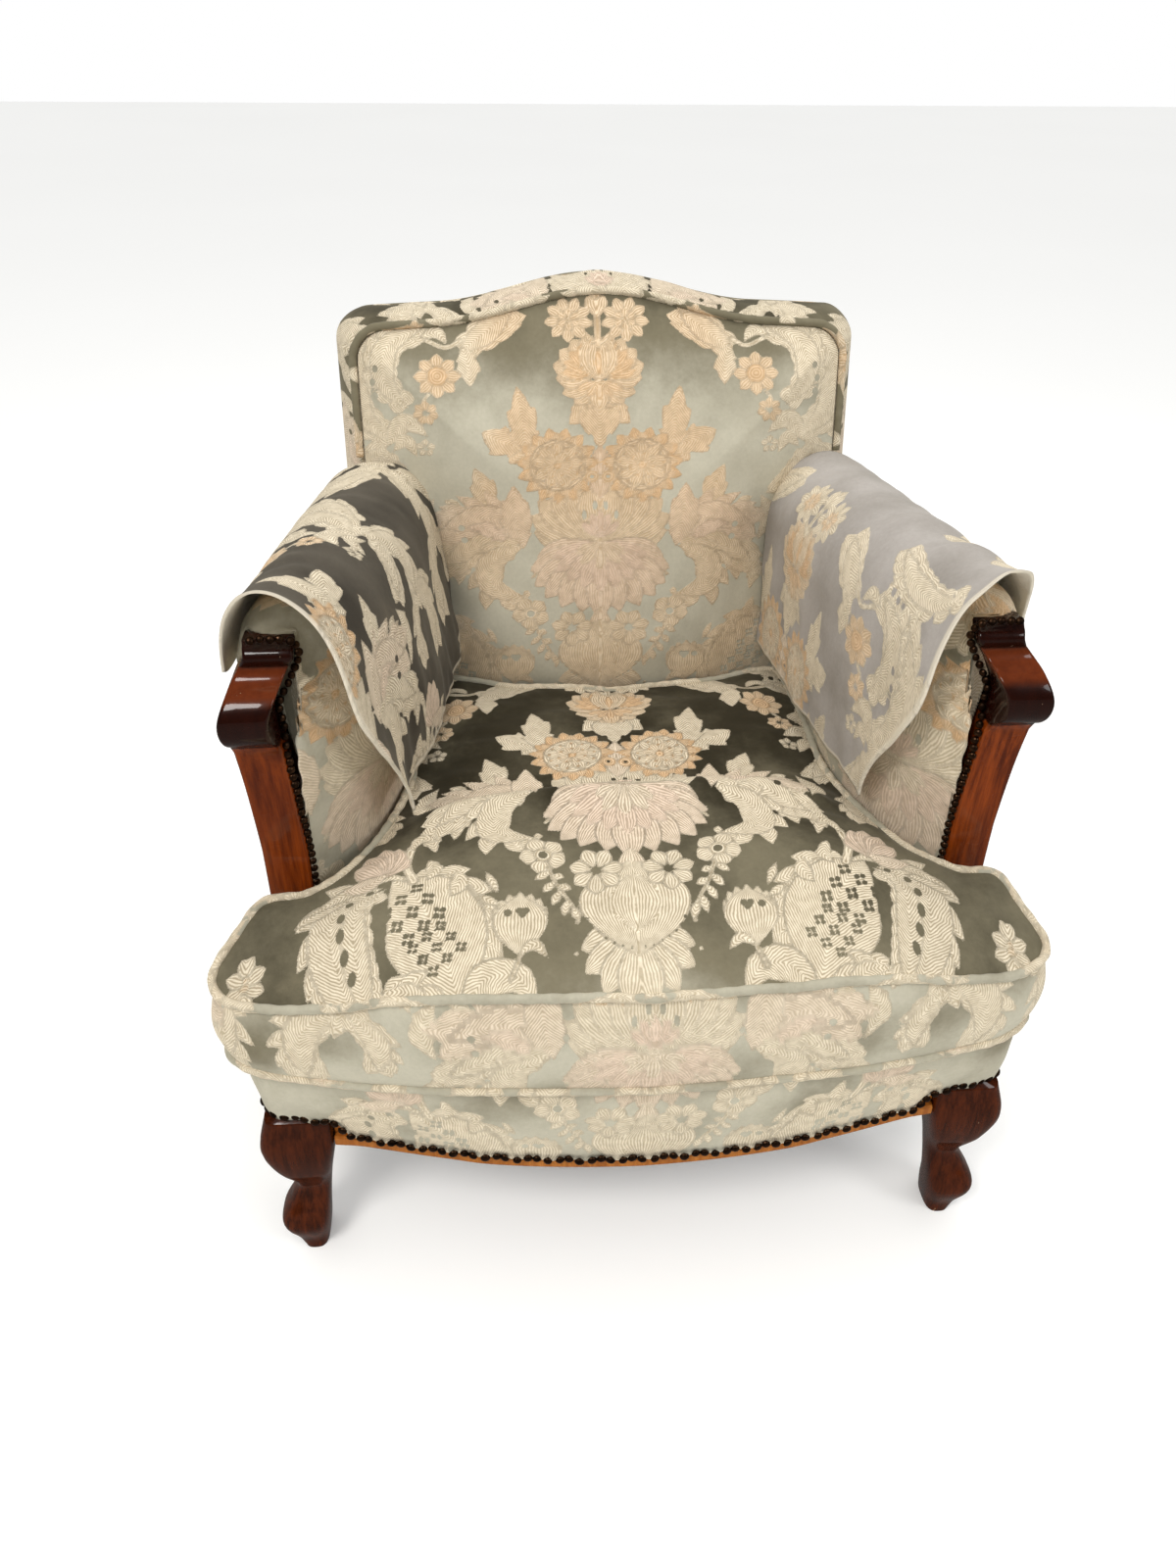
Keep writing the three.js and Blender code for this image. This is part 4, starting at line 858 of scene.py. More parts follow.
def seat_cushion(columns=308, rows=232, levels=24):
    x, y = cushion_patch(columns, rows)
    top = np.stack([x, y, cushion_top_z(x, y, distance_to_line(x, y, cushion_line(420)))], -1)
    edge = top.reshape(-1, 3)[rim_of(rows, columns)]
    edge_x, edge_y, edge_z = edge.T
    along = np.roll(edge[:, :2], -1, 0) - np.roll(edge[:, :2], 1, 0)
    out = unit(along[:, ::-1] * [1, -1])
    plump = 3 + 9 * smooth(-edge_y, -70, 0)
    lengths = run_of(edge[:, :2])
    around = lengths - lengths[columns // 2]
    layers, cloth = [], []
    for f in np.arange(1, levels + 1) / levels:
        z = lerp(edge_z, CUSHION_FOOT, f)
        bulge = plump * np.sin(PI * f) ** 0.8 - 3.5 + 1.2 * ripple(around, z, 80, 21) * np.sin(PI * f)
        pleats = np.sin(around / 5.5 + 2 * np.sin(around / 37))
        gather = 1.3 * pleats * np.exp(-f * (edge_z - BORDER_TOP) / 9)
        shift = out * (bulge + gather)[:, None]
        layers.append(np.stack([edge_x + shift[:, 0], edge_y + shift[:, 1] - rear_lean(edge_y, z), z], 1))
        cloth.append(np.stack([around, z - 582], 1))
    middle = np.array([0, CUSHION_MIDDLE_Y, 0])
    for share in (0.85, 0.5):
        layers.append((layers[levels - 1] - middle) * [share, share, 1] + middle)
        cloth.append(np.stack([around, np.full(len(edge), float(CUSHION_FOOT_V))], 1))
    body, faces = stuffed(top, layers, [0, CUSHION_MIDDLE_Y, CUSHION_FOOT])
    made = piece("seat_cushion_cover", body, faces, FLORAL)
    x, y = x.ravel(), y.ravel()
    on_top = np.stack([x + PATTERN_SKEW * (PATTERN_Y - y), y - PATTERN_Y], 1)
    u, v = np.vstack([on_top, *cloth, [[0, CUSHION_FOOT_V]]]).T
    # Painted light on the cushion's top: a painted sheen along its front, and painted shade making it darker
    # towards the rear.
    painted_front_sheen = 0.28 * smooth(-y, -20, 50) * smooth(-np.abs(x + 20), -220, -60)
    top_shade = 0.09 + 0.26 * smooth(-y, -210, -40) + painted_front_sheen + 0.1 * ripple(x, y, 170, 3)
    box_shade = 0.84 + 0.2 * ripple(u[len(x):], v[len(x):], 140, 9)
    fade = np.r_[np.full(len(x), 0.1), np.full(len(body) - len(x), 0.7)]
    dress(made, u, v, np.r_[top_shade, box_shade], fade)
    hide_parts("seat_cushion")


def piping(name, path, radius, u, girth, v, shade, fade, closed=False, gold=1.0):
    """A cord in a sleeve of cloth. u runs along it, and its sleeve takes up a girth of the pattern from v."""
    sides = 10
    points, faces = tube(path, radius, sides, closed)
    made = piece(name, points, faces, FLORAL)
    ends = np.zeros(len(points) - sides * len(path))
    around = np.tile(np.linspace(0, girth, sides), len(path))
    dress(made, np.r_[np.repeat(u, sides), ends], np.r_[around, ends] + v, shade, fade, gold=gold)
    return made


def cushion_welts():
    full = cushion_line(300)
    x, y = spaced(np.vstack([full, full[:1]]), 861)[:-1].T
    along = np.arange(len(x)) * 3.0
    radius = CUSHION_CORD * (1 + 0.07 * np.sin(along / 3.4) + 0.06 * ripple(along, 0 * along, 60, 31))
    wander = 0.9 * ripple(along, 0 * along, 110, 33)
    u = 0.9 * (along - along[len(along) // 2])
    foot = np.full(len(x), CUSHION_FOOT + CUSHION_CORD)
    for name, z, v in (("top", cushion_welt_z(x, y), -120), ("bottom", foot, -240)):
        path = np.stack([x, y - rear_lean(y, z), z + wander], 1)
        made = piping(f"cushion_piping_{name}", path, radius, u, 27, v, 0.8, 0.8, closed=True, gold=0.1)
        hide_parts(f"cushion_welt_{name}")


seat_cushion()
cushion_welts()

# Back


def back_line(inset=0.0, swell=0.0, foot=-140.0, count=260):
    """The back's outline in front view, from the foot of one side over the camel top to the other."""
    half = 275 + swell - inset
    shoulder = 374 + 0.9 * swell - inset

    def crest(x):
        return shoulder - 9 * (x / half) ** 2 + 28 * np.cos(0.5 * PI * np.minimum(x / 185, 1)) ** 2

    turn_x = half - 36
    turn_w = crest(turn_x) - 36
    x = np.linspace(0, turn_x, 60)
    angle = np.linspace(0.5 * PI, 0, 24)[1:]
    top = np.stack([x, crest(x)], 1)
    turn = np.stack([turn_x + 36 * np.cos(angle), turn_w + 36 * np.sin(angle)], 1)
    side = np.stack([np.full(40, half), np.linspace(turn_w, foot, 41)[1:]], 1)
    right = np.vstack([top, turn, side])
    return spaced(np.vstack([right[:0:-1] * [-1, 1], right]), count)


def upright(x, depth, w):
    """Places points of the back, from across, behind its face and up its rake."""
    return np.stack([x, BACK_Y + w * np.sin(RAKE) + depth * np.cos(RAKE),
                     BACK_Z + w * np.cos(RAKE) - depth * np.sin(RAKE)], -1)


def up_rake(z, depth=0.0):
    """How far up the back's rake a height lies."""
    return (z - BACK_Z) / np.cos(RAKE) + depth * np.tan(RAKE)


def under_outline(line, foot, across, rows):
    """A grid of places on the back, x across and w up, from its foot to its outline. across runs from -1 to
    1."""
    rising = line[(line[:, 0] >= 0) & (line[:, 1] > 300)]
    rising = rising[np.argsort(rising[:, 0], kind="stable")]
    x = across * line[:, 0].max()
    highest = np.interp(np.abs(x), rising[:, 0], np.maximum.accumulate(rising[::-1, 1])[::-1])
    w = lerp(foot, highest, np.linspace(0, 1, rows)[:, None])
    return np.broadcast_to(x, w.shape).copy(), w


BACK_FOOT = -96
FACE_INSET = 4
PATTERN_W = 340


def inside_back(columns=224, rows=232):
    line = back_line(FACE_INSET, foot=BACK_FOOT, count=4000)
    across = np.linspace(-1, 1, columns)
    x, w = under_outline(line, BACK_FOOT, 0.35 * np.sin(0.5 * PI * across) + 0.65 * across, rows)
    gap = distance_to_line(x, w, line[::8])
    crown = 1 - (1 - np.clip(gap / 200, 0, 1)) ** 2.6
    between = np.clip(1 - np.abs(x / 232) ** 3, 0, 1)
    swell = lerp(between, 1, smooth(w, 110, 250))
    plump = lerp(30, 60, smooth(w, -90, 30))
    dents = 2.4 * ripple(x, w, 170, 41) + 1.1 * ripple(x * 1.3, w * 0.7, 60, 42)
    edge_pull = 1.5 * np.exp(-gap / 14) * np.sin((x - 0.6 * w) / 6.5) * smooth(gap, 1, 9)
    depth = -crown * swell * plump - np.clip(gap / 50, 0, 1) * dents - edge_pull
    ring = rim_of(rows, columns)
    rim_x, rim_w = x.ravel()[ring], w.ravel()[ring]
    layers = [upright(rim_x * 0.995, np.full(len(ring), d), rim_w - 1) for d in (4.0, 22.0)]
    body, faces = stuffed(upright(x, depth, w), layers, upright(0, 22.0, 140.0))
    made = piece("inside_back_cover", body, faces, FLORAL)
    x = np.r_[x.ravel(), np.tile(rim_x, 2), 0]
    w = np.r_[w.ravel(), np.tile(rim_w, 2), 140]
    side = smooth(np.abs(x), 150, 270)
    tone = through([-100, 120, 200, 260, 320, 360, 400], [0.86, 1.0, 1.0, 0.92, 0.64, 0.44, 0.34], w)
    tone = lerp(tone, np.maximum(tone, 0.7), side * smooth(-w, -370, -270)) + 0.06 * ripple(x, w, 130, 7)
    fade = through([-100, 200, 300, 400], [1.0, 1.0, 0.7, 0.3], w)
    reach = lerp(150, 105, smooth(w, 120, 260))
    inner = 1 - 0.92 * smooth(np.abs(x) - reach, 0, 60)
    warm = through([-100, 120, 240, 400], [0.3, 0.4, 0.66, 0.5], w) * inner
    dress(made, x + 6, (w - PATTERN_W) / 0.87, tone, fade, warm=warm)
    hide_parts("inside_back")


def back_border():
    """The box-edged border over the back's top and sides."""
    count = 300
    depths = spline([(6, -1.0), (9, 1.5), (16, 8), (26, 14), (38, 19), (50, 22.5), (62, 24), (74, 23.5),
                     (84, 22.5), (94, 20.5)], 34)

    def ring(depth, swell, inset=0.0):
        line = back_line(inset, swell, up_rake(606, depth), count)
        return upright(line[:, 0], np.full(count, depth), line[:, 1])

    outer = [ring(d, s) for d, s in depths]
    inner = [ring(d, s, 9) for d, s in depths[::4]][::-1]
    points, faces = closed_loft(np.stack(outer + inner, 1))
    across = np.r_[depths[:, 0], depths[::4, 0][::-1]]
    u, v = np.repeat(np.linspace(-640, 640, count), len(across)), np.tile(across, count)
    points[:-2, 2] += 1.4 * ripple(u, v, 90, 51) * smooth(v, 6, 30)
    made = piece("back_border_cover", points, faces, FLORAL)
    u, v = np.r_[u, 0, 0], np.r_[v, 0, 0]
    tone = 0.18 + 0.2 * smooth(np.abs(u), 300, 420) + 0.08 * ripple(u, v, 120, 8)
    dress(made, u, v - 236, tone, 0.25)
    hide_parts("back_border")


def back_piping():
    """The cords at the border's front edge and at its rear edge."""
    line = back_line(-0.3, 0, up_rake(664), 330)
    run = np.arange(len(line)) * 3.0
    path = upright(line[:, 0], np.full(len(line), 1.0), line[:, 1])
    made = piping("back_piping", path, 4.6 * (1 + 0.06 * np.sin(run / 3.1)), run * 0.8, 28, -60, 0.45, 0.5)
    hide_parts("back_welt")

    line = back_line(0.0, 21, -200, 360)
    run = np.arange(len(line)) * 3.6
    path = upright(line[:, 0], np.full(len(line), 95.0), line[:, 1])
    piping("rear_piping", path, 4.2, run * 0.8, 26, 0, 0.5, 0.5)


def outside_back(columns=150, rows=150):
    foot = up_rake(SKIRT_FOOT_Z, BACK_DEPTH)
    line = back_line(1, 20, foot, 3000)
    x, w = under_outline(line, foot, np.linspace(-1, 1, columns), rows)
    gap = distance_to_line(x, w, line[::6])
    depth = 95 + 4 * smooth(gap, 0, 60) + 0.8 * ripple(x, w, 160, 61)
    points, faces = panel(upright(x, depth, w), upright(x, np.full_like(x, 92.0), w))
    made = piece("outside_back_cover", points, faces, FLORAL)
    u, v = np.tile(x.ravel(), 2), np.tile(w.ravel(), 2) - 330
    dress(made, u, v, 0.4 + 0.1 * ripple(u, v, 200, 62), 0.3)
    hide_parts("outside_back")


inside_back()
back_border()
back_piping()
outside_back()

# Arms. A share runs from an arm's front to the back's face.

ARM_FOOT = 302
ARM_FRONT_Y = 104
POST_GAP = 0.8
arm_inner_top = profile((0, 300), (0.12, 262), (0.28, 226), (1, 197))
arm_inner_foot = profile((0, 303), (0.06, 286), (0.2, 248), (0.4, 228), (1, 227))
arm_top = profile((0, ROLL_Z + 46), (0.13, 678), (1, 652))
cap_inner = profile((0, 252), (0.2, 236), (0.4, 224), (1, 197))
post_lean = profile((450, 0), (560, 5.4), (600, 9), (625, 0), (644, -12), (657, -12))
post_front = profile((236, 106), (350, 111), (450, 114), (520, 112), (571, 106))
pad_front = profile((302, 111), (450, 119), (556, 114), (590, 124), (625, 132), (652, 130), (668, 121),
                    (700, 118))


def arm_outer(share):
    return side_line(0.84 * share) - 1


def arm_line(share, grow=0.0, top=None, cap=False, fine=(44, 30, 26)):
    """The arm's line in front view, from the inner foot over the roll to the outer skirt."""
    top = arm_top(share) if top is None else top
    foot_x, inner = arm_inner_foot(share), arm_inner_top(share)
    if cap:
        foot_x, inner = min(foot_x, cap_inner(share)), min(inner, cap_inner(share))
    outer = arm_outer(share)
    middle = (inner + outer) / 2
    rise, over, down = fine
    z = np.linspace(ARM_FOOT, ROLL_Z, rise)
    face = through([ARM_FOOT, 420, ROLL_Z - 60, ROLL_Z], [foot_x, foot_x, lerp(foot_x, inner, 0.9), inner], z)
    a = np.linspace(PI, 0.5 * PI, over)[1:]
    b = np.linspace(0.5 * PI, 0, down)[1:]
    low = ROLL_Z + 8
    return np.vstack([np.stack(part, 1) for part in (
        (face - grow, z),
        (middle + (middle - inner + grow) * np.cos(a), ROLL_Z + (top - ROLL_Z + grow) * np.sin(a)),
        (middle + (outer - middle + grow) * np.cos(b), low + (top - low + grow) * np.sin(b)))])


def arm_pad(hand):
    side, name = HANDS[hand], f"arm_pad_{hand}"
    rings = []
    for share in np.r_[np.linspace(0, 0.16, 34), np.linspace(0.166, 1, 104)]:
        x, z = arm_line(share, fine=(112, 44, 26)).T.copy()
        y = lerp(pad_front(z), back_y(z) + 6, share)
        plump = 3.0 * np.sin(PI * np.clip((z - ARM_FOOT) / 300, 0, 1)) * smooth(share, 0.0, 0.15)
        away = np.hypot(y - 118, z - 604)
        rays = np.sin(15 * np.arctan2(z - 604, y - 112) + 0.08 * away)
        pleat = 3.4 * np.exp(-(away / 46) ** 2) * rays * smooth(away, 6, 26)
        pleat += 1.0 * np.exp(-share / 0.03) * np.sin(z / 4.6) + 1.2 * ripple(y, z, 120, 71 + side)
        gather = 2.4 * np.exp(-np.clip(y - 118, 0, None) / 15) * np.sin(x / 2.1)
        bulge = 9 * np.exp(-((z - 628) / 34) ** 2 - ((y - 132) / 34) ** 2)
        x -= np.where(z <= ROLL_Z, plump + pleat + bulge, (pleat + bulge) * smooth(-z, -680, -620))
        z += gather * smooth(z, ROLL_Z + 46, ROLL_Z + 60)
        inner = POST_INNER + post_lean(z) - POST_GAP
        beside_post = (y < POST_BACK_Y + 1) & (z < POST_TOP_Z + 0.5)
        x = np.where(beside_post, np.minimum(x, inner), x)
        foot_x = POST_INNER - POST_GAP if y[-1] < POST_BACK_Y + 1 else x[-1]
        ring = np.vstack([np.stack([x, y, z], 1), [[foot_x, y[-1], SKIRT_Z], [x[0] + 8, y[0], ARM_FOOT]]])
        rings.append(ring * [side, 1, 1])
    points, faces = closed_loft(rings)
    made = piece(f"{name}_cover", points, faces, FLORAL)
    across = np.r_[run_of(rings).ravel(), 0, 0]
    along, z = np.vstack([np.reshape(rings, (-1, 3))[:, 1:], [[0, 0], [0, 0]]]).T
    # Painted shade: the pad's ground is darker low down towards the seat, and a painted shadow darkens its
    # front above the post, under the cap's lip.
    tone = 0.84 - 0.1 * smooth(z, 380, 300) + 0.08 * ripple(along, across, 110, 77)
    tone -= 0.3 * np.exp(-(np.hypot(along - 124, z - 625) / 46) ** 2)
    dress(made, along - 190 + 20 * side, across - 420, tone, 0.75)
    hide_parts(name)


def outside_arm(hand, columns=150, rows=96):
    side, name = HANDS[hand], f"outside_arm_{hand}"
    end = 0.797
    share = np.linspace(0, 1, columns)[None]
    t = np.linspace(0, 1, rows)[:, None]
    behind = smooth(share, end, end + 0.02)
    top = lerp(SKIRT_Z - 0.3, 620, behind)
    z = lerp(SKIRT_FOOT_Z, top, t)
    y = lerp(POST_BACK_Y + 2, back_y(z, BACK_DEPTH) - 1, share)
    lean = behind * smooth(z, 586, 618) * (side_line(share) - side_line(1.0))
    puff = 2.0 * np.sin(PI * t) ** 0.5 * np.sin(PI * share) ** 0.5 + 0.5 * ripple(y, z, 120, 81)
    x = side_line(share) - lean
    outer, inner = np.stack([x + puff, y, z], -1), np.stack([x - PANEL, y, z], -1)
    points, faces = panel(outer * [side, 1, 1], inner * [side, 1, 1])
    made = piece(f"{name}_cover", points, faces, FLORAL)
    u, v = np.tile(y.ravel(), 2) - 400, np.tile(z.ravel(), 2) - 590
    dress(made, u, v, 0.62 + 0.1 * ripple(u, v, 180, 82), 0.45)
    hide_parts(name)


for hand in HANDS:
    arm_pad(hand)
    outside_arm(hand)

# Loose arm covers


def cap_top(share):
    return lerp(697, 660, share)


CAP_INNER_HEM = 452
CAP_FRONT_Y, CAP_TIP_Y, CAP_BACK_SHARE = 160, 99, 0.95


def arm_cap(hand, material, hang, lift, cut, offset, fade):
    """A lined sheet hung over the arm. Its front corner on the inner side hangs to a point. hang says how
    far its inner hem falls away from the arm at the front and behind, lift how high its front edge stands,
    cut how far its outer front corner is drawn back, and offset where it lay on the pattern."""
    side, name = HANDS[hand], f"arm_cap_{hand}"
    parts = 138
    part = np.linspace(0, 1, parts)
    front = lerp(CAP_FRONT_Y, CAP_TIP_Y, smooth(part, 0, 0.42)) + cut * smooth(part, 0.6, 1.0)
    sheets = []
    for grow in (6.0, 3.2):
        sheet = []
        for station in np.linspace(0, CAP_BACK_SHARE, 140):
            line = arm_line(station, grow, cap_top(station), cap=True, fine=(60, 40, 30))
            over_x, z = spaced(line[int(np.argmax(line[:, 1] >= CAP_INNER_HEM)):], parts).T
            y = lerp(lerp(front, CAP_TIP_Y, station), back_y(z) - 2, station)
            share = np.maximum((y - ARM_FRONT_Y) / (back_y(z) - 1 - ARM_FRONT_Y), 0)
            inner = np.minimum(arm_inner_top(share), cap_inner(share))
            low = np.minimum(arm_inner_foot(share), cap_inner(share))
            wall = lerp(low, inner, smooth(z, 420, ROLL_Z)) - grow
            here = min(arm_inner_top(station), cap_inner(station))
            x = np.where((part < 0.6) & (z <= ROLL_Z), wall, over_x + (inner - here) * (1 - part))
            fall = hang[0] * np.exp(-station / 0.16) + hang[1] * smooth(station, 0.12, 0.45)
            wave = 2.4 * ripple(y, 260 * part, 95, 91 + side) + 1.0 * ripple(y, 260 * part, 38, 93 + side)
            x = x - fall * smooth(-part, -0.5, 0.0) - wave * smooth(-part, -0.55, -0.1)
            z = z + wave * smooth(part, 0.3, 0.5) * smooth(-part, -0.95, -0.7) + 3 * (1 - station)
            z = z + lift * np.exp(-station / 0.045) * smooth(part, 0.32, 0.55)
            sheet.append(np.stack([x, y, z], 1) * [side, 1, 1])
        sheets.append(np.array(sheet))
    points, faces = panel(*sheets)
    made = piece(f"{name}_cover", points, faces, material)
    outer = sheets[0]
    run = run_of(outer)
    u, v = np.tile(outer[:, :, 1].ravel(), 2), np.tile(run.ravel(), 2)
    from_front = np.arange(len(outer))[:, None] * 3.0
    rim = np.minimum(from_front, np.minimum(run, run[:, -1:] - run))
    lining = np.r_[smooth(-rim.ravel(), -5, -3) * 0.75, np.ones(run.size)]
    dress(made, u + offset[0], v + offset[1], 0.3 + 0.16 * ripple(u, v, 120, 97), fade, lining)
    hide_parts(name)


arm_cap("right", PALE_CAP, (12, 6), 11, 84, (-400, -167), 0.5)
arm_cap("left", DARK_CAP, (27, 22), 8, 50, (-63, -350), 0.2)

# Front border of the seat


def border_path(lean, count=260):
    half = [[0, bow(0, lean)], [75, bow(75, lean)], [150, bow(150, lean)], [215, bow(215, lean)],
            [275, bow(275, lean)], [330, 2 - lean], [360, 12 - lean / 2], [367 + lean / 2, 34], [363, 62],
            [356, 106], [355, 155]]
    right = spline(half, count)
    return np.vstack([right[:0:-1] * [-1, 1], right])


def front_border(levels=30):
    low, high = border_path(0), border_path(9)
    run = run_of(low)
    run -= run[len(run) // 2]
    reach = np.abs(low[:, 0])
    over_leg = smooth(reach, LEG_INNER - 26, LEG_INNER - 3)
    foot = lerp(apron_edge(reach) + APRON_STRIP + 0.3, LEG_TOP, over_leg)
    along = np.gradient(low, axis=0)
    inward = unit(np.stack([-along[:, 1], along[:, 0]], 1))
    outer, inner = [], []
    for f in np.linspace(0, 1, levels):
        flat = lerp(low, high, smooth(f, 0, 0.9))
        z = lerp(foot, BORDER_TOP - 1, f)
        belly = 4.5 * np.sin(PI * f) ** 0.7
        pull = 1.8 * ripple(run, z, 70, 101) * np.sin(PI * f)
        tuck = 1.4 * np.exp(-(z - foot) / 12) * np.sin(run / 5.2)
        outer.append(np.c_[flat - inward * (belly + pull + tuck)[:, None], z])
        inner.append(np.c_[flat + inward * 6.0, z])
    points, faces = panel(np.array(outer), np.array(inner))
    made = piece("front_border_cover", points, faces, FLORAL)
    u, v = np.tile(run, 2 * levels), points[:, 2] - 584
    dress(made, u, v, 0.82 + 0.14 * ripple(u, v, 130, 103), 0.62)
    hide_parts("front_border")
    return outer[0]


nail_line = front_border()

# Show wood


def arm_post(hand):
    z = np.linspace(236, 562, 90)
    front = np.stack([z, post_front(z)], 1)

    def roll(y, height, radius, low, high, count):
        angle = np.linspace(low, high, count)
        return np.stack([height + radius * np.sin(angle), y - radius * np.cos(angle)], 1)

    front = np.vstack([front, roll(KNUCKLE_Y, KNUCKLE_Z, KNUCKLE_RADIUS, -0.38 * PI, 0.4 * PI, 40),
                       roll(TOP_ROLL_Y, TOP_ROLL_Z, TOP_ROLL_RADIUS, -0.36 * PI, 0.4 * PI, 22),
                       [[POST_TOP_Z, TOP_ROLL_Y + 1]]])
    rings = []
    ease = 3.2
    for height, y in front:
        x0 = POST_INNER + float(post_lean(height))
        x1 = x0 + POST_WIDTH
        section = []
        for cx, cy, start in ((x0 + ease, y + ease, PI), (x1 - ease, y + ease, 1.5 * PI),
                              (x1 - ease, POST_BACK_Y - ease, 0), (x0 + ease, POST_BACK_Y - ease, 0.5 * PI)):
            angle = start + np.linspace(0, 0.5 * PI, 5)
            section += [[cx + ease * np.cos(a), cy + ease * np.sin(a), height] for a in angle]
            if cy < POST_BACK_Y - 10 and cx < x0 + 10:
                section += [[lerp(x0 + ease, x1 - ease, k), y, height] for k in (0.25, 0.5, 0.75)]
        rings.append(np.array(section) * [HANDS[hand], 1, 1])
    points, faces = closed_loft(rings)
    made = piece(f"arm_post_{hand}_carved", points, faces, SHOW_WOOD)
    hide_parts(f"arm_post_{hand}")


def front_leg(hand):
    outer = profile((0, 353), (20, 361), (48, 370), (75, 357), (93, 349), (115, 358), (140, 368), (168, 374),
                    (LEG_TOP, 366))
    inner = profile((0, 327), (30, 322), (93, 315), (168, 301), (LEG_TOP, LEG_INNER))
    near = profile((0, 0), (15, -1), (48, -10), (93, 6), (130, -6), (168, -9), (LEG_TOP, 0))
    far = profile((0, 44), (93, 44), (168, 60), (LEG_TOP, 66))
    angle = np.linspace(0, 2 * PI, 48, endpoint=False)

    def section(z, x0, x1, y0, y1, squareness):
        c, s = np.cos(angle), np.sin(angle)
        reach = (np.abs(c) ** squareness + np.abs(s) ** squareness) ** (-1 / squareness)
        return np.stack([lerp(x0, x1, 0.5 + 0.5 * c * reach), lerp(y0, y1, 0.5 + 0.5 * s * reach),
                         np.full(len(c), z)], 1)

    shoulder = LEG_TOP - 0.3
    rings = [section(z, inner(z), outer(z), near(z), far(z), lerp(3, 7, smooth(z, 93, LEG_TOP)))
             for z in np.linspace(0, shoulder, 110)]
    rings += [section(z, LEG_INNER, LEG_INNER + 50, 16, 66, 20) for z in (shoulder, LEG_BLOCK_TOP)]
    points, faces = closed_loft(np.array(rings) * [HANDS[hand], 1, 1])
    made = piece(f"front_leg_{hand}_carved", points, faces, LEG_WOOD)
    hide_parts(f"front_leg_{hand}")


def front_rail():
    half = LEG_INNER - 0.3
    x = np.linspace(-half, half, 220)
    face, edge, top = bow(x), apron_edge(np.abs(x)), np.full(len(x), 235.0)
    strip, rebate, rear = edge + APRON_STRIP, face + 6.9, face + 30
    corners = [(face + 3.2, edge), (face + 0.9, edge + 0.9), (face, edge + 3), (face, strip - 2),
               (face + 2, strip), (rebate, strip), (rebate, top), (rear, top), (rear, edge)]
    rings = np.stack([np.stack([x, y, z], 1) for y, z in corners], 1)
    points, faces = closed_loft(rings)
    made = piece("front_rail_moulded", points, faces, APRON_WOOD, smooth_faces=False)
    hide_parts("front_rail")


for hand in HANDS:
    arm_post(hand)
    front_leg(hand)
front_rail()

# Nails


def nails(name, spots, ways, radius=4.6, height=2.8, seed=0):
    """Domed nail heads, each at a spot and facing a way, a little uneven."""
    rng = np.random.default_rng(seed)
    sides, rows = 12, 5
    turn = 2 * PI * np.arange(sides)[:, None] / sides
    rise = 0.5 * PI * np.arange(rows)[:, None, None] / rows
    heads = []
    for spot, way in zip(spots, ways):
        way = unit(way + rng.normal(0, 0.07, 3))
        side = unit(np.cross(way, [0.3, 0.2, 1.0]))
        up = np.cross(way, side)
        size = radius * rng.uniform(0.93, 1.05)
        spot = spot + side * rng.normal(0, 0.35) + up * rng.normal(0, 0.35)
        dome = size * np.cos(rise) * (np.cos(turn) * side + np.sin(turn) * up) + height * np.sin(rise) * way
        heads.append(np.vstack([spot + dome.reshape(-1, 3), spot + height * way, spot - 4 * way]))
    count = rows * sides
    rim, last = np.arange(sides), count - sides + np.arange(sides)
    one = quads(rows, sides, around=True) + fan(last, count) + fan(rim[::-1], count + 1)
    faces = [[k * (count + 2) + corner for corner in face] for k in range(len(heads)) for face in one]
    points = np.vstack(heads)
    piece(name, points, outward(points, faces), BRONZE)


def nail_places(path, pitch):
    """Which points of a finely spaced path carry a nail."""
    run = run_of(path)
    return np.interp(np.linspace(0, run[-1], int(run[-1] / pitch)), run, np.arange(len(path))).astype(int)


def front_nails():
    flat = spaced(nail_line + [0, 0, 6.2], 2000)
    at = nail_places(flat, 10.2)
    way = np.gradient(flat, axis=0)
    out = unit(np.stack([way[:, 1], -way[:, 0], 0 * way[:, 0]], 1))
    stand = lerp(4.4, 0.8, smooth(np.abs(flat[:, 0]), 290, 335))[:, None]
    nails("front_nails", (flat + stand * out)[at], (out - [0, 0, 0.1])[at], radius=4.8, height=3.2, seed=1)


def post_nails(hand):
    """The nails up the inner edge of a post, round its knuckle and over its top."""
    side = HANDS[hand]
    z = np.linspace(318, 564, 160)
    up = np.stack([POST_INNER + post_lean(z) - 2.5, post_front(z) + 3.5, z], 1)
    notch = spline([up[-1], [309, 115, 584], [311, 120, 600], [303, 125, 615], [295, 127, 629],
                    [289, 127, 643], [289, 125, 655], [294, 122, 662], [306, 121, 664], [315, 121, 664],
                    [325, 122, 663]], 400)
    path = spaced(np.vstack([up, notch[1:]]), 1500)
    path[:, 1] = pad_front(path[:, 2]) - 1.2
    at = nail_places(path, 8.0)
    over = smooth(path[:, 2], 652, 664)[:, None]
    ways = lerp(np.array([-0.6, -0.8, 0.1]), np.array([0.0, -0.9, 0.45]), over)
    nails(f"arm_nails_{hand}", path[at] * [side, 1, 1], ways[at] * [side, 1, 1], radius=3.8, seed=5 + side)


front_nails()
for hand in HANDS:
    post_nails(hand)

# Frame, springing and underside keep their own meshes


def paint(material, *names):
    for name in names:
        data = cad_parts[name].data
        data.materials.clear()
        data.materials.append(material)


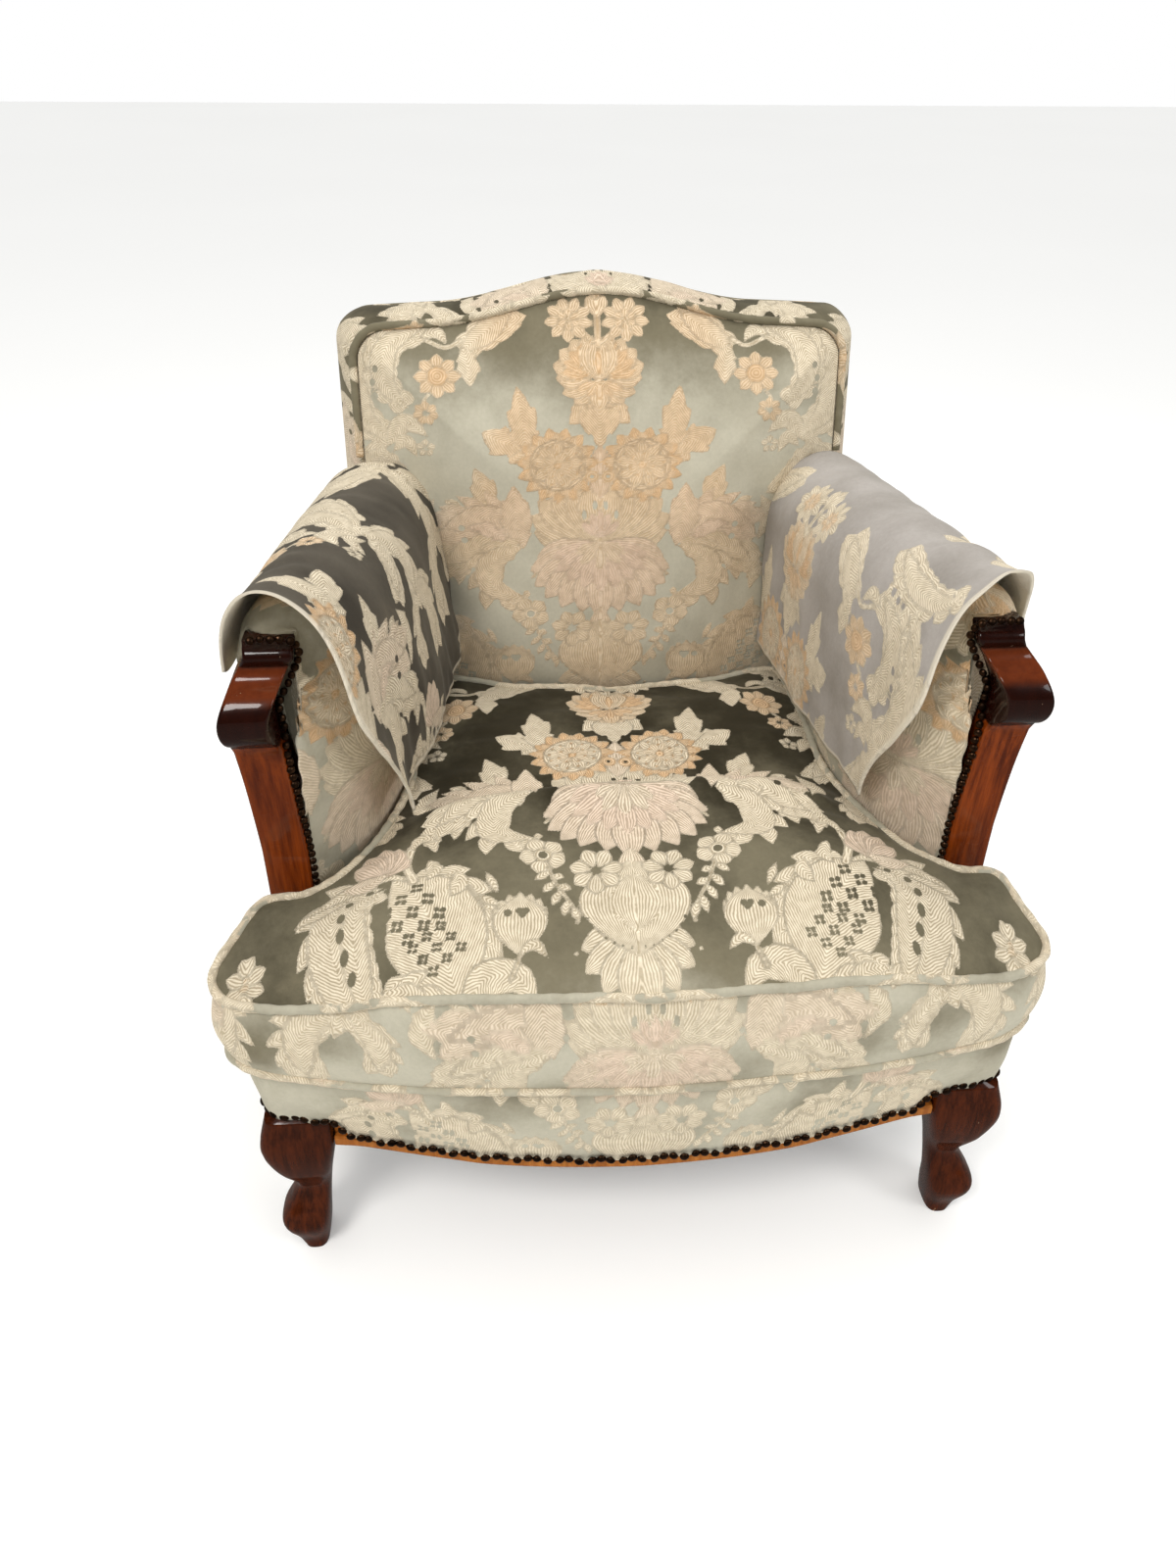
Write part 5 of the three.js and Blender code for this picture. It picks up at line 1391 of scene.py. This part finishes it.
paint(LEG_WOOD, *(f"back_post_{hand}" for hand in HANDS))
paint(FRAME_WOOD, "seat_back_rail", "crest_rail", "back_stay_rail", *(
    f"{name}_{hand}" for name in ("side_rail", "arm_rail", "front_corner_block", "rear_corner_block")
    for hand in HANDS))
paint(JUTE, "seat_webbing", "back_webbing", "spring_hessian", "edge_roll")
paint(STEEL, *(f"seat_spring_{k}" for k in range(1, 10)))
paint(CAMBRIC, "dust_cover")


def seat_deck():
    x, y = cushion_patch(60, 44)
    middle = np.array([0, CUSHION_MIDDLE_Y])
    flat = (np.stack([x, y], -1) - middle) * 0.955 + middle
    flat[..., 1] = np.maximum(flat[..., 1], bow(flat[..., 0]) + 4)
    high, low = (np.concatenate([flat, np.full(x.shape + (1,), z)], -1) for z in (287.4, 266.0))
    points, faces = panel(high, low)
    made = piece("seat_deck_cover", points, faces, FLORAL)
    dress(made, points[:, 0] + 170, points[:, 1], 0.5, 0.4)
    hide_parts("seat_deck")


seat_deck()

# Floor, light and camera


def floor():
    mesh = bpy.data.meshes.new("floor")
    reach = 14.0
    mesh.from_pydata([(-reach, -reach, 0), (reach, -reach, 0), (reach, reach, 0), (-reach, reach, 0)], [],
                     [(0, 1, 2, 3)])
    made = bpy.data.objects.new("floor", mesh)
    bpy.context.scene.collection.objects.link(made)
    s = Shader("floor_paint", Roughness=0.9, Emission_Color=(1, 1, 1, 1), Emission_Strength=0.12,
               Specular_IOR_Level=0.1)
    pale = s.mix(s.noise(0.6, 2), srgb(246, 246, 244), srgb(250, 250, 248))
    reflected = s.add("LightPath").outputs["Is Glossy Ray"]
    mesh.materials.append(s.finish(s.mix(reflected, pale, srgb(90, 84, 78))))


def stand(made, right, up, back, spot):
    """Puts a lamp or camera in the scene at a spot, in metres, looking away from back."""
    bpy.context.scene.collection.objects.link(made)
    made.matrix_world = Matrix([*np.c_[right, up, back, spot].tolist(), [0, 0, 0, 1]])


def lamp(name, spot, size, power, colour=(1, 1, 1)):
    data = bpy.data.lights.new(name, "AREA")
    data.shape = "DISK"
    data.size, data.energy, data.color = size, power, colour
    back = unit(np.subtract(spot, (0, 0, 0.45)))
    right = unit(np.cross([0, 0, 1.0], back))
    stand(bpy.data.objects.new(name, data), right, np.cross(back, right), back, spot)


def lights():
    """A white world, brighter above, dim in reflections and white where it is seen, and three soft lamps."""
    world = bpy.data.worlds.new("studio")
    bpy.context.scene.world = world
    w = Nodes(world)
    height = w.add("SeparateXYZ", {0: w.add("TexCoord").outputs["Generated"]}).outputs[2]
    rise = w.add("MapRange", {0: height, 1: 0.0, 2: 0.75, 3: 0.35, 4: 0.95}).outputs[0]
    rays = w.add("LightPath").outputs
    strength = w.times(rise, w.affine(rays["Is Glossy Ray"], -0.93, 1.0))
    background = w.tree.nodes["Background"]
    w.put(background, 0, (1.0, 1.0, 1.0, 1.0))
    w.put(background, 1, w.math("MAXIMUM", strength, rays["Is Camera Ray"]))
    lamp("key", (-1.2, -1.7, 2.6), 0.9, 38, (1.0, 0.97, 0.94))
    lamp("fill", (2.0, -1.6, 1.9), 1.0, 16)
    lamp("top", (0.2, 0.6, 2.8), 1.2, 20)


CAMERA_PLACE = (-110.3, -725.3, 1105.3)
CAMERA_YAW, CAMERA_PITCH, CAMERA_ROLL = np.radians([4.411, 35.118, 0.645])
CAMERA_LENS = 26.05


def camera():
    data = bpy.data.cameras.new("camera")
    data.lens, data.sensor_width = CAMERA_LENS, 36
    data.clip_start = 0.05
    sy, cy, sp, cp = np.sin(CAMERA_YAW), np.cos(CAMERA_YAW), np.sin(CAMERA_PITCH), np.cos(CAMERA_PITCH)
    ahead = np.array([sy * cp, cy * cp, -sp])
    level = np.array([cy, -sy, 0])
    above = np.cross(level, ahead)
    cr, sr = np.cos(CAMERA_ROLL), np.sin(CAMERA_ROLL)
    right, up = level * cr + above * sr, -level * sr + above * cr
    made = bpy.data.objects.new("camera", data)
    stand(made, right, up, -ahead, place([CAMERA_PLACE])[0])
    bpy.context.scene.camera = made


floor()
lights()
camera()
bpy.context.scene.view_settings.view_transform = "Standard"
